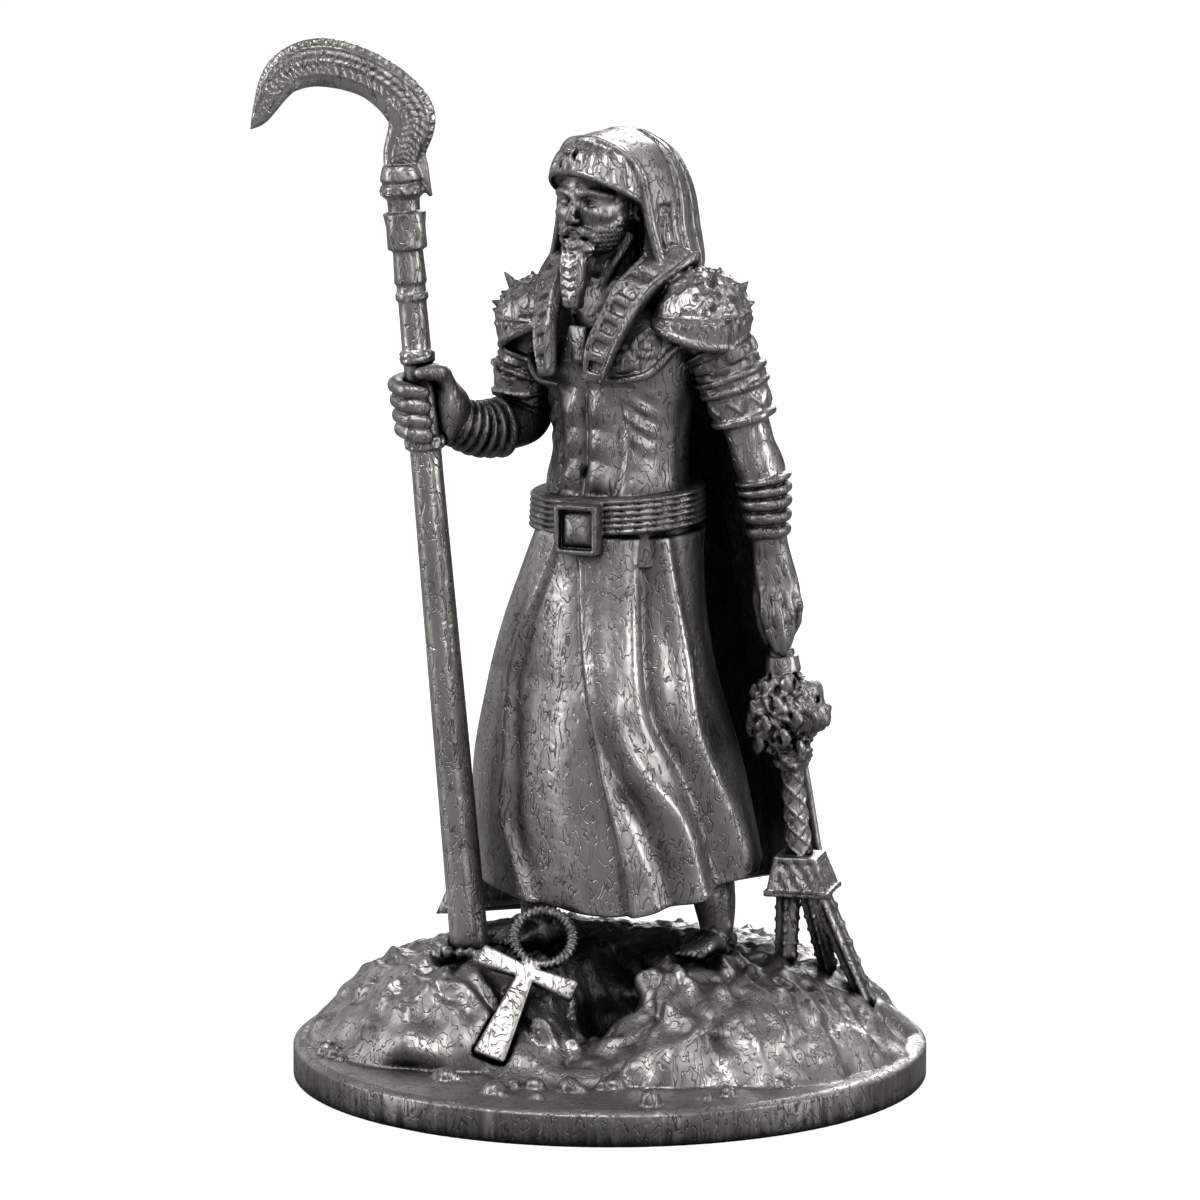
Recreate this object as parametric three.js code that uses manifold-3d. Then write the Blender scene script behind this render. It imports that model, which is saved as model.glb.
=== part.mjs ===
// A cast white-metal statuette of Osiris: a standing god-king with a sickle-headed staff and a flail,
// on a round plinth of rock with an ankh leaning on it. Millimetres, +Z up.
// The figure faces -Y and its left side is +X. The origin is the centre of the plinth's underside.

import * as THREE from 'three';
import Module from 'manifold-3d';
import { ParametricGeometry } from 'three/addons/geometries/ParametricGeometry.js';
import { mergeVertices } from 'three/addons/utils/BufferGeometryUtils.js';

const wasm = await Module();
wasm.setup();

// Driving dimensions
const PLINTH = { radius: 27.5, wall: 2.7, top: 3.0, bevel: 0.4 };
const ROCK = { top: 10.9, reach: 26.7, steep: 4.6 };
const FIT = 0.14;
const STAFF = { foot: [-7.75, -9.5, 10.7], root: [-13.4, -11.75, 78.85], footRadius: 1.68, topRadius: 1.22 };
const BLADE = { thickness: 1.7 };
const WAIST = 47.5;
const STRIDE = 40 * Math.PI / 180;
const SKIRT = { centre: [0.35, 0.66], dip: 2.3, left: 19.2, right: 16.6, wall: 1.1 };
const HEAD = { place: [-0.25, -0.95, 72.0], turn: 8 * Math.PI / 180 };
const HOOD = { centre: [0, 2.2], base: 69.6, crown: 82.2 };
const CAPE = { thickness: 1.1 };
const FLAIL = { top: [13.9, 5.83, 41.6], end: [15.47, 7.07, 19.2], rod: 0.62 };
const ANKH = { foot: [1.1, -17.1, 4.8], lean: 33 * Math.PI / 180, roll: 23 * Math.PI / 180, thick: 0.95 };

const TAU = 2 * Math.PI;
const clamp = THREE.MathUtils.clamp;
const mix = THREE.MathUtils.lerp;
const vec = (x, y, z) => new THREE.Vector3(x, y, z);
const hill = (x) => Math.exp(-x * x);
const step = (x, edge, soft) => 1 / (1 + Math.exp(-(x - edge) / soft));
const boxed = (x, power) => Math.sign(x) * Math.abs(x) ** power;

// A smooth function through [place, value] stops. A value is a number or a list of numbers.
function track(stops) {
  const at = stops.map((stop) => stop[0]);
  const values = stops.map((stop) => [stop[1]].flat());
  const slope = (i, k) => {
    const before = Math.max(i - 1, 0);
    const after = Math.min(i + 1, at.length - 1);
    return (values[after][k] - values[before][k]) / (at[after] - at[before]);
  };
  return (place) => {
    let i = 0;
    while (i < at.length - 2 && place > at[i + 1]) i += 1;
    const span = at[i + 1] - at[i];
    const t = clamp((place - at[i]) / span, 0, 1);
    const found = values[i].map((start, k) => {
      const rise = values[i + 1][k] - start;
      const bend = (1 - t) * (slope(i, k) * span - rise) - t * (slope(i + 1, k) * span - rise);
      return start + rise * t + t * (1 - t) * bend;
    });
    return found.length === 1 ? found[0] : found;
  };
}

// A solid from a closed geometry, with its faces pointing out
function solidOf(geometry) {
  geometry.deleteAttribute('normal');
  geometry.deleteAttribute('uv');
  const welded = mergeVertices(geometry, 1e-4);
  const points = welded.getAttribute('position').array;
  const triangles = [];
  let volume = 0;
  const corner = (i) => vec(points[3 * i], points[3 * i + 1], points[3 * i + 2]);
  for (let i = 0; i < welded.index.count; i += 3) {
    const [a, b, c] = welded.index.array.slice(i, i + 3);
    if (a === b || b === c || a === c) continue;
    triangles.push([a, b, c]);
    volume += corner(a).dot(corner(b).cross(corner(c)));
  }
  const outward = volume < 0 ? triangles.map(([a, b, c]) => [a, c, b]) : triangles;
  return new wasm.Manifold(new wasm.Mesh({
    numProp: 3,
    vertProperties: Float32Array.from(points),
    triVerts: Uint32Array.from(outward.flat()),
  }));
}

// A closed skin: ring(angle, t) is its outline at each share t from 0 to 1, given as a count of equal
// steps or as a list of shares. Each end closes at its middle.
function shell(ring, around, along) {
  const shares = Array.isArray(along) ? along : Array.from({ length: along + 1 }, (_, s) => s / along);
  const rows = shares.map((t) => Array.from({ length: around }, (_, k) => ring(TAU * k / around, t)));
  const middle = (row) => row.reduce((sum, p) => sum.add(p), vec(0, 0, 0)).divideScalar(around);
  const last = rows.length - 1;
  const ends = [middle(rows[0]), middle(rows[last])];
  return solidOf(new ParametricGeometry((u, v, target) => {
    const s = Math.round(v * (last + 2)) - 1;
    const k = Math.round(u * around) % around;
    if (s < 0) target.copy(ends[0]);
    else if (s > last) target.copy(ends[1]);
    else target.copy(rows[s][k]);
  }, around, last + 2));
}

// A closed hoop: point(angle, turn) goes round its section by angle and round the hoop by turn
function hoop(point, around, along) {
  return solidOf(new ParametricGeometry((u, v, target) => {
    const k = Math.round(u * around) % around;
    const s = Math.round(v * along) % along;
    target.copy(point(TAU * k / around, TAU * s / along));
  }, around, along));
}

// A limb along a curve. size(t) gives half its width, along side, and half its depth.
function limb(points, size, around, along, side = vec(1, 0, 0), power = 1) {
  const path = new THREE.CatmullRomCurve3(points.map((p) => vec(...p)), false, 'centripetal');
  return shell((angle, t) => {
    const at = path.getPoint(t);
    const ahead = path.getTangent(t);
    const across = side.clone().addScaledVector(ahead, -side.dot(ahead)).normalize();
    const deep = ahead.clone().cross(across);
    const [wide, thick] = size(t);
    return at.addScaledVector(across, wide * boxed(Math.cos(angle), power))
      .addScaledVector(deep, thick * boxed(Math.sin(angle), power));
  }, around, along);
}

const domed = (t) => Math.sqrt(Math.max(1 - (2 * t - 1) ** 2, 0.02));

// An egg with its own three half-lengths
function egg(centre, half, around, along) {
  return shell((angle, t) => {
    const rise = -Math.cos(Math.PI * mix(0.06, 0.94, t));
    const spread = Math.sqrt(1 - rise * rise);
    return vec(half[0] * spread * Math.cos(angle), half[1] * spread * Math.sin(angle), half[2] * rise)
      .add(vec(...centre));
  }, around, along);
}

// A turned body on the line between two points, from [share of the length, radius] steps
function turned(from, to, profile, around) {
  const a = vec(...from);
  const b = vec(...to);
  const length = a.distanceTo(b);
  const outline = profile.map(([share, radius]) => new THREE.Vector2(radius, share * length));
  outline.unshift(new THREE.Vector2(0, profile[0][0] * length));
  outline.push(new THREE.Vector2(0, profile.at(-1)[0] * length));
  const lathe = new THREE.LatheGeometry(outline, around);
  lathe.applyQuaternion(new THREE.Quaternion().setFromUnitVectors(vec(0, 1, 0),
    b.clone().sub(a).normalize()));
  lathe.translate(a.x, a.y, a.z);
  return solidOf(lathe);
}

// A pointed thorn
function thorn(root, tip, radius, around = 4) {
  return turned(root, tip, [[0, radius], [1, 0.06]], around);
}

function block(size, place) {
  const box = new THREE.BoxGeometry(...size);
  box.applyMatrix4(place);
  return solidOf(box);
}

const join = (...solids) => solids.flat().reduce((whole, next) => whole.add(next));
const pairOf = (from, to, share) => from.map((value, i) => mix(value, to[i], share));

// The rocks: lumps and hollows along short lines, from [x, y] to [x, y], with the rise at each end
const LUMPS = [
  { from: [-9.8, -7.2], to: [-13.4, -21.6], rise: [0.5, 0.7], width: 1.7 },
  { from: [-6.8, -9.5], to: [-6.6, -22.4], rise: [0.2, 1.0], width: 1.6 },
  { from: [-13.5, -7], to: [-20.5, -13], rise: [0.2, 0.9], width: 1.8 },
  { from: [-0.6, -10.5], to: [0.4, -14], rise: [-0.6, -1.4], width: 2.3 },
  { from: [1.4, 1.5], to: [3.8, -4.4], rise: [-2.6, -6.0], width: 2.1 },
  { from: [3.8, -4.4], to: [6.6, -13.5], rise: [-6.0, -4.6], width: 3.4 },
  { from: [9.4, -8.5], to: [11.5, -12.5], rise: [-2.2, -3.2], width: 2.8 },
  { from: [7.4, -3.2], to: [11.2, -5.4], rise: [2.3, 1.4], width: 1.9 },
  { from: [14.6, -3.6], to: [19.6, 1.5], rise: [1.1, 0.8], width: 2.0 },
  { from: [13.2, -1.0], to: [14.8, -5.6], rise: [-1.4, -0.6], width: 1.1 },
  { from: [9.2, 4.2], to: [10.8, 2.0], rise: [1.1, 0.8], width: 2.1 },
  { from: [14.6, 6.4], to: [15.8, 8.0], rise: [1.0, 0.9], width: 2.2 },
  { from: [4.2, -13.2], to: [5.6, -11.6], rise: [1.1, 0.7], width: 1.2 },
  { from: [-9, 14], to: [8, 17], rise: [-0.9, -0.7], width: 4 },
];

// How far out the mound reaches, by the angle round the plinth in degrees: it leaves a ledge in front
const MOUND_REACH = track([
  [-180, 26.7], [-140, 26.5], [-115, 24.5], [-100, 21], [-86, 18], [-70, 18.3], [-55, 19.5], [-40, 20],
  [-25, 21.5],
  [-10, 24.5], [10, 26], [60, 26.7], [180, 26.7],
]);

function groundHeight(x, y) {
  const out = Math.hypot(x, y);
  const share = Math.min(out / MOUND_REACH(Math.atan2(y, x) * 180 / Math.PI), 1);
  let height = PLINTH.top + (ROCK.top - PLINTH.top) * (1 - share ** ROCK.steep);
  for (const { from, to, rise, width } of LUMPS) {
    const run = [to[0] - from[0], to[1] - from[1]];
    const place = ((x - from[0]) * run[0] + (y - from[1]) * run[1]) / (run[0] ** 2 + run[1] ** 2);
    const t = clamp(place, 0, 1);
    const away = Math.hypot(x - from[0] - t * run[0], y - from[1] - t * run[1]);
    height += mix(rise[0], rise[1], t) * hill(away / width) * (1 - share ** 8);
  }
  const crumble = Math.sin(1.9 * x + 1.1 * y) * Math.sin(1.3 * y - 0.8 * x) + 0.6 * Math.sin(2.6 * y + x);
  height += 0.28 * crumble * (1 - share ** 6);
  return Math.max(height, PLINTH.top);
}

function plinth() {
  const rings = 12;
  const walls = [[PLINTH.radius, 0], [PLINTH.radius, PLINTH.wall],
    [PLINTH.radius - PLINTH.bevel, PLINTH.top]];
  return shell((angle, t) => {
    const s = Math.round(t * (rings + 2));
    const [radius, wall] = walls[Math.min(s, 2)];
    const out = s < 3 ? radius : 0.4 + (ROCK.reach - 0.4) * (1 - (s - 3) / (rings - 1));
    const x = out * Math.cos(angle);
    const y = out * Math.sin(angle);
    return vec(x, y, s < 3 ? wall : groundHeight(x, y));
  }, 44, rings + 2);
}

// The staff is one turned rod with collars, and a sickle blade in the plane that the fist turns out
const STAFF_PROFILE = [
  [0, STAFF.footRadius], [0.62, 1.36], [0.648, 1.36], [0.651, 1.72], [0.665, 1.72], [0.668, 1.34],
  [0.756, 1.24], [0.760, 1.52], [0.772, 1.52], [0.776, 1.26], [0.836, 1.22], [0.839, 1.42], [0.846, 1.42],
  [0.849, 1.26], [0.857, 1.26], [0.860, 1.42], [0.868, 1.38], [0.900, 1.30], [0.903, 1.72], [0.948, 1.86],
  [0.950, 1.36], [0.965, 1.42], [0.972, 1.95], [0.982, 1.9], [0.985, 1.62], [0.99, 1.86], [1, 1.72],
  [1.008, 1.5],
];
const BLADE_LINE = [[0, -0.6], [0.34, 1.4], [1.03, 4.9], [-2.05, 8.07], [-6.6, 9.45], [-10.0, 8.28],
  [-12.0, 4.77], [-12.8, 3.55]];
const BLADE_WIDTH = track([
  [0, 1.4], [0.143, 1.85], [0.286, 2.2], [0.43, 2.1], [0.57, 2.25], [0.714, 1.87], [0.857, 0.88], [1, 0.05],
]);

function staffBody(grow) {
  return turned(STAFF.foot, STAFF.root, STAFF_PROFILE.map(([share, radius]) => [share, radius + grow]), 8);
}

function staff() {
  const right = vec(Math.cos(STRIDE), Math.sin(STRIDE), 0);
  const place = (across, up) => (
    vec(...STAFF.root).addScaledVector(right, across).add(vec(0, 0, up)).toArray()
  );
  const flat = vec(Math.sin(STRIDE), -Math.cos(STRIDE), 0);
  const blade = limb(
    BLADE_LINE.map(([across, up]) => place(across, up)),
    (t) => [BLADE.thickness / 2 * Math.min(1, 0.25 + BLADE_WIDTH(t) / 2), BLADE_WIDTH(t)],
    6, 15, flat, 1.25,
  );
  const barb = limb(
    [[0.4, 2.4], [1.3, 1.0], [1.8, -0.5], [2.5, -2.0]].map(([across, up]) => place(across, up)),
    track([[0, [0.3, 0.9]], [0.6, [0.45, 0.75]], [1, [0.25, 0.2]]]), 4, 3, flat);
  return join(staffBody(0), blade, barb);
}

// The room that the staff needs where it passes through another piece
function staffRoom() {
  const axis = vec(...STAFF.root).sub(vec(...STAFF.foot)).setLength(FIT);
  const body = staffBody(FIT);
  return join(body.translate(axis.toArray()), body.translate(axis.negate().toArray()));
}

// The body: [half width, half depth] and the centre line, by height
const TORSO = track([
  [45.5, [0.3, 0.5, 7.2, 5.8]], [50, [0.3, 0.8, 7.0, 5.4]], [54, [0.35, 1.0, 6.5, 4.8]],
  [58.5, [0.35, 1.1, 6.9, 4.9]], [62.5, [0.4, 1.2, 8.0, 5.2]], [66, [0.3, 1.3, 8.1, 4.6]],
  [68.4, [0.1, 1.2, 5.6, 3.7]], [69.8, [0, 1.0, 3.0, 2.8]],
]);

// Muscle relief, as height above the plain body, from the place across the front and the height
function muscles(across, height) {
  const breast = hill((Math.abs(across) - 3.1) / 2.7) * hill((height - 63.2) / 2.3);
  const underBreast = hill((Math.abs(across) - 3.2) / 2.8) * hill((height - 60.6) / 0.7);
  const midline = hill(across / 0.55) * step(height, 51, 0.5) * step(-height, -63, 0.8);
  const wall = hill((Math.abs(across) - 1.5) / 1.15) * step(height, 50.5, 0.5) * step(-height, -60, 0.3);
  const rows = 0.5 + 0.5 * Math.cos(TAU * (height - 58.4) / 2.7);
  const flank = hill((Math.abs(across) - 4.6) / 0.9) * step(-height, -60, 0.5);
  return 0.95 * breast - 0.35 * underBreast - 0.32 * midline + wall * (0.15 + 0.34 * rows) - 0.3 * flank;
}

function torso() {
  return shell((angle, t) => {
    const height = mix(45.5, 69.8, t);
    const [x, y, wide, deep] = TORSO(height);
    const across = wide * Math.cos(angle);
    const front = -Math.sin(angle) > 0 ? Math.sqrt(-Math.sin(angle)) : 0;
    const spine = Math.sin(angle) > 0 ? 0.4 * hill(across / 1.1) : 0;
    const rise = front * muscles(across, height);
    const lift = 1 + (rise - spine) / Math.hypot(wide * Math.cos(angle), deep * Math.sin(angle));
    return vec(x + across * lift, y + deep * Math.sin(angle) * lift, height);
  }, 18, 11);
}

// The face, as depth in front of the plain head, from the place across and the height over the chin
function faceRelief(across, up) {
  const side = Math.abs(across);
  const nose = 1.15 * hill(across / (0.34 + 0.1 * step(-up, -3.6, 0.3))) * hill((up - 3.05) / 1.0);
  const bridge = 0.4 * hill(across / 0.4) * hill((up - 4.6) / 0.9);
  const brow = 0.3 * hill((side - 1.3) / 1.0) * hill((up - 5.35) / 0.42);
  const socket = -0.55 * hill((side - 1.3) / 0.75) * hill((up - 4.6) / 0.5);
  const cheek = 0.25 * hill((side - 2.0) / 0.8) * hill((up - 3.6) / 0.7);
  const lips = 0.3 * hill(across / 0.95) * hill((up - 1.7) / 0.42);
  const jaw = 0.4 * hill(side / 1.2) * hill((up - 0.5) / 0.6);
  return nose + bridge + brow + socket + cheek + lips + jaw;
}

function head() {
  const [cx, cy, chin] = HEAD.place;
  const size = track([
    [0, [0.9, 2.4, 0.4]], [0.7, [1.9, 3.4, 1.4]], [1.9, [2.75, 3.8, 2.6]], [4.6, [3.4, 4.1, 3.6]],
    [6.8, [3.4, 4.2, 3.8]], [8.4, [2.5, 3.2, 3.0]], [9.2, [1.1, 1.3, 1.4]],
  ]);
  const skull = shell((angle, t) => {
    const up = 9.2 * t;
    const [wide, front, back] = size(up);
    const across = wide * Math.cos(angle);
    const ahead = -Math.sin(angle);
    const depth = ahead > 0 ? front * ahead + faceRelief(across, up) * Math.sqrt(ahead) : back * ahead;
    return vec(across, -depth, up).applyAxisAngle(vec(0, 0, 1), HEAD.turn).add(vec(cx, cy, chin));
  }, 14, 10);
  const neck = limb([[0.1, 1.3, 66.8], [0, 0.7, 70], [-0.1, 0.1, 74]], () => [2.5, 2.5], 7, 1);
  const ears = [-1, 1].map((side) => egg([cx + side * 3.45, cy + 0.25 * (1 + side), chin + 4.1],
    [0.6, 0.85, 1.35], 5, 2));
  const plaits = 5;
  const beard = limb(
    [[0.0, -3.85, 72.9], [0.2, -4.95, 71.7], [0.3, -5.2, 69.8], [0.25, -5.15, 68.0]],
    (t) => {
      const knot = 0.13 * Math.cos(TAU * plaits * t);
      return [mix(1.15, 0.85, t) + knot, mix(0.9, 0.55, t) + knot];
    }, 6, plaits * 2, vec(1, 0, 0), 0.8,
  );
  return join(skull, neck, ears, beard);
}

// The headcloth: a hood that flares to the shoulders, cut open for the face, with two ribbed lappets
const HOOD_SIZE = track([
  [69.6, [7.0, 6.3]], [71.8, [6.2, 6.9]], [74, [5.5, 7.2]], [76.2, [5.3, 6.7]], [78.1, [4.9, 5.8]],
  [80.1, [4.0, 4.5]], [81.2, [3.0, 3.0]], [82.2, [1.0, 1.1]],
]);

function hoodAt(angle, height, grow) {
  const [wide, deep] = HOOD_SIZE(height);
  const [x, y] = HOOD.centre;
  return vec(x + (wide + grow) * Math.cos(angle), y + (deep + grow) * Math.sin(angle), height);
}

// How far forward the hood's front edge lies. The brow band lies in one leaning plane.
const frontEdge = (height) => -0.6 - 0.1 * (height - 75) - 0.1 * Math.max(height - 78, 0) ** 2;
const BROW = { slope: -0.57, middle: 75.95 };
const FLUTES = 13;
const CAP = { centre: [-0.05, -0.25, 77.5], half: [4.45, 5.4, 4.75], power: 2.6, top: 81.8 };

function capAt(turn, height, grow) {
  const [x, y, z] = CAP.centre;
  const level = Math.sqrt(Math.max(1 - Math.abs((height - z) / CAP.half[2]) ** CAP.power, 0.02));
  return vec(x + (CAP.half[0] + grow) * level * Math.cos(turn),
    y + (CAP.half[1] + grow) * level * Math.sin(turn), height);
}

function hoodBorder() {
  const steps = 6;
  const side = Array.from({ length: steps + 1 }, (_, k) => {
    const height = mix(70.2, CAP.top, Math.sin(Math.PI / 2 * k / steps));
    const y = frontEdge(height);
    const [wide, deep] = HOOD_SIZE(height);
    const sine = clamp((y - HOOD.centre[1]) / deep, -1, 1);
    const lift = Math.abs((height - CAP.centre[2]) / CAP.half[2]);
    const level = 1 - lift ** CAP.power - ((y - CAP.centre[1]) / CAP.half[1]) ** 2;
    const onCap = height > 78 ? CAP.half[0] * Math.sqrt(Math.max(level, 0)) : 0;
    return [Math.max(wide * Math.sqrt(1 - sine * sine), onCap), y, height];
  });
  const mirrored = side.slice(0, -1).reverse().map(([x, y, z]) => [-x, y, z]);
  return limb([...side, ...mirrored], () => [0.45, 0.45], 4, 14, vec(0, 1, 0));
}

function headcloth() {
  const tall = HOOD.crown - HOOD.base;
  const hood = shell((angle, t) => hoodAt(angle, HOOD.base + tall * Math.sin(t * Math.PI / 2), 0), 16, 6);
  const openFront = block([20, 10, 24],
    new THREE.Matrix4().makeRotationX(0.1).setPosition(0, frontEdge(75) - 5, 75));
  const faceHole = turned([0, -10, 74.2], [0, 0.4, 74.2], [[0, 4.4], [1, 4.2]], 12);
  const belowBrow = block([20, 20, 7.6],
    new THREE.Matrix4().makeRotationX(-0.518).setPosition(0, -1.63, 72.65));
  const fluted = (turn) => (Math.sin(turn) < 0 ? 0.16 * Math.cos(turn * FLUTES) : 0);
  const cap = shell((turn, t) => {
    const height = mix(75.0, 82.2, Math.sin(Math.PI / 2 * t));
    return capAt(turn, height, fluted(turn) * Math.sin(Math.PI * t) ** 0.5);
  }, FLUTES * 2, 5).subtract(belowBrow);
  const band = hoop((angle, turn) => {
    const y = 5.4 * Math.sin(turn);
    const height = BROW.middle + BROW.slope * (y - 0.25) + 0.1 + 0.3 * Math.sin(angle);
    return capAt(turn, height, 0.1 + 0.2 * Math.cos(angle));
  }, 3, 16);
  const crest = limb([[-0.15, -5.2, 79.0], [-0.15, -5.5, 80.1], [-0.18, -4.7, 81.3]],
    (t) => [0.6 * domed(t), 0.6 * domed(t)], 5, 4);
  return join(hood.subtract(openFront).subtract(faceHole), hoodBorder(), cap, band, crest, lappet(-1),
    lappet(1));
}

// A lappet runs from the hood over the collar bone to the chest, with raised bars across it
const LAPPET = {
  left: [5.75, 5.65, 5.15, 4.55, 3.85, 3.25],
  right: [-4.9, -4.6, -3.9, -3.2, -2.5, -2.0],
  drop: [[1.6, 72], [-0.2, 70.9], [-3.0, 69.2], [-4.5, 67.1], [-5.6, 64.7], [-6.0, 62.1]],
  size: track([[0, [2.4, 0.75]], [0.35, [1.75, 0.7]], [0.6, [1.45, 0.62]], [0.85, [1.3, 0.6]],
    [1, [0.95, 0.5]]]),
  bars: 5,
  start: 0.26,
};

function lappet(side) {
  const step = (1 - LAPPET.start) / LAPPET.bars;
  const shares = [0, 0.12];
  for (let bar = 0; bar < LAPPET.bars; bar += 1) {
    shares.push(LAPPET.start + step * bar, LAPPET.start + step * (bar + 0.35));
    shares.push(LAPPET.start + step * (bar + 0.45), LAPPET.start + step * (bar + 0.9));
  }
  const thin = (t) => t > LAPPET.start && (t - LAPPET.start) / step % 1 > 0.4;
  return limb(
    LAPPET.drop.map(([y, z], k) => [(side > 0 ? LAPPET.left : LAPPET.right)[k], y, z]),
    (t) => {
      const [wide, thick] = LAPPET.size(t);
      return [wide, thick * (thin(t) ? 0.6 : 1)];
    },
    4, shares, vec(1, 0.5 * side, 0),
  );
}

// Shoulder armour: a dome over each shoulder with thorns, and a bib with a chain below the neck
const SHOULDERS = {
  left: { centre: [9.1, 1.5, 66.6], half: [3.9, 4.5, 4.5], tilt: 0.35 },
  right: { centre: [-8.3, 0.7, 64.9], half: [3.7, 4.3, 4.1], tilt: -0.45 },
};

function shoulderPlate({ centre, half, tilt }) {
  const under = new THREE.Matrix4().makeRotationY(tilt)
    .setPosition(centre[0], centre[1], centre[2] - 3.4);
  const dome = egg(centre, half, 11, 4).subtract(block([20, 20, 5], under));
  const out = Math.sign(tilt);
  const rim = hoop((angle, around) => {
    const p = vec((half[0] - 0.05 + 0.3 * Math.cos(angle)) * Math.cos(around),
      (half[1] - 0.05 + 0.3 * Math.cos(angle)) * Math.sin(around), 0.35 * Math.sin(angle) - 0.75);
    return p.applyAxisAngle(vec(0, 1, 0), tilt).add(vec(...centre));
  }, 3, 11);
  const thorns = [[0.62, -0.35, 0.9, 1.5], [0.9, -0.62, 0.45, 0.8], [0.95, -0.1, 0.5, 0.8],
    [0.72, 0.5, 0.7, 0.9],
    [0.99, -0.3, 0.12, 0.7]].map(([x, y, z, length]) => {
    const way = vec(out * x * half[0], y * half[1], z * half[2]);
    const skin = way.clone().normalize();
    const reach = 1 / Math.hypot(skin.x / half[0], skin.y / half[1], skin.z / half[2]);
    const root = vec(...centre).addScaledVector(skin, reach - 0.3);
    return thorn(root.toArray(), root.clone().addScaledVector(skin, length + 0.35).toArray(),
      0.42 + 0.12 * length);
  });
  return join(dome, rim, thorns);
}

function bib() {
  const corners = [[-1.0, 1.0], [1.0, 1.0], [1.5, -1.15], [-1.5, -1.15]];
  const plate = new THREE.Shape(corners.map(([x, y]) => new THREE.Vector2(x, y)));
  const body = new THREE.ExtrudeGeometry(plate, { depth: 0.9, bevelEnabled: false });
  body.rotateX(Math.PI / 2 - 0.08);
  body.translate(0.2, -3.75, 64.4);
  const chain = limb(
    [[-2.6, -1.7, 68.6], [-1.4, -3.35, 66.6], [0.2, -4.1, 65.6], [1.8, -3.35, 66.6], [3.0, -1.7, 68.6]],
    () => [0.3, 0.3], 4, 6, vec(0, 0, 1),
  );
  return join(solidOf(body), chain);
}

// The arms, each a chain of joints from the shoulder to the wrist
const LEFT_ARM = [[8.6, 1.6, 66.8], [10.6, 3.0, 62.6], [12.3, 4.4, 55.4], [13.0, 4.95, 52.6],
  [13.35, 5.3, 47.2]];
const RIGHT_ARM = [[-8.0, 0.7, 65.2], [-9.5, 0.2, 60.0], [-9.4, 0.1, 56.6], [-10.5, -4.6, 56.0],
  [-11.55, -8.5, 57.4]];
const ARM_SIZE = track([
  [0, [2.6, 2.7]], [0.25, [2.5, 2.6]], [0.45, [1.95, 2.1]], [0.55, [2.1, 2.2]], [0.75, [1.95, 2.0]],
  [1, [1.35, 1.5]],
]);
const LEFT_SLEEVES = [
  [0.13, 0.1], [0.14, 0.75], [0.16, 0.4], [0.265, 0.4], [0.28, 0.8], [0.31, 0.8], [0.325, 0.45],
  [0.385, 0.45], [0.4, 0.8], [0.42, 0.1],
];
const RIGHT_SLEEVES = [
  [0.12, 0.1], [0.13, 0.6], [0.15, 0.3], [0.19, 0.3], [0.21, 0.65], [0.23, 0.35], [0.29, 0.35], [0.31, 0.65],
  [0.33, 0.35], [0.375, 0.35], [0.39, 0.6], [0.41, 0.1],
];

// Bracelets stand side by side: each one rises and falls once between its own two shares
function bracelets(from, to, count, rise) {
  return Array.from({ length: 2 * count + 1 },
    (_, i) => [mix(from, to, i / (2 * count)), i % 2 ? rise : 0.12]);
}

function arm(line, sleeves, side) {
  const shares = [0, ...sleeves.map(([t]) => t), 0.48, 0.54, 0.6, 1].sort((a, b) => a - b);
  return limb(line, (t) => {
    const place = sleeves.findIndex(([at]) => at === t);
    const rise = place < 0 ? 0 : sleeves[place][1];
    return ARM_SIZE(t).map((value) => value + rise);
  }, 7, shares, side);
}

const leftArm = () => arm(LEFT_ARM, [...LEFT_SLEEVES, ...bracelets(0.7, 0.97, 5, 0.5)], vec(0.77, 0.64, 0));
const rightArm = () => arm(RIGHT_ARM, [...RIGHT_SLEEVES, ...bracelets(0.64, 0.93, 6, 0.55)], vec(1, 0, 0));

// The left hand hangs, its fingers and thumb closed on the flail's rod
function leftHand() {
  const right = vec(Math.cos(STRIDE), Math.sin(STRIDE), 0);
  const near = vec(Math.sin(STRIDE), -Math.cos(STRIDE), 0);
  const rod = vec(...FLAIL.top);
  const place = (across, ahead, height) => vec(rod.x, rod.y, 0)
    .addScaledVector(right, across).addScaledVector(near, ahead).add(vec(0, 0, height)).toArray();
  const palm = limb([place(-0.7, 0, 48.2), place(-0.5, 0.1, 46), place(-0.05, 0.2, 43.6),
    place(0.1, 0.2, 42.2)],
    track([[0, [1.45, 1.3]], [0.45, [1.8, 1.3]], [0.8, [1.9, 1.1]], [1, [1.6, 0.9]]]), 7, 3, right);
  const finger = (line, thick) => limb(line,
    (t) => [mix(thick, thick * 0.8, t), mix(thick, thick * 0.8, t)], 4, 3, right);
  return join(
    palm,
    finger([place(-1.15, 0.7, 43.4), place(-1.05, 1.25, 41.4), place(-0.6, 1.3, 39.7),
      place(-0.1, 1.05, 38.2)], 0.55),
    finger([place(-0.25, 1.0, 43.3), place(0.0, 1.5, 41.2), place(0.3, 1.4, 39.5), place(0.4, 1.1, 38.0)],
      0.57),
    finger([place(0.65, 0.8, 43.3), place(1.0, 1.25, 41.4), place(1.0, 1.1, 39.9), place(0.85, 0.85, 38.7)],
      0.55),
    finger([place(1.35, 0.3, 43.5), place(1.7, 0.55, 42), place(1.6, 0.45, 40.7), place(1.3, 0.3, 39.7)],
      0.5),
    finger([place(-1.45, -0.1, 44.8), place(-1.7, -0.3, 42.4), place(-1.35, -0.35, 40.2),
      place(-0.85, -0.3, 38.6)], 0.55),
  );
}

// The right fist closes round the staff
function staffAt(height) {
  const share = (height - STAFF.foot[2]) / (STAFF.root[2] - STAFF.foot[2]);
  return vec(...pairOf(STAFF.foot, STAFF.root, share));
}

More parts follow.
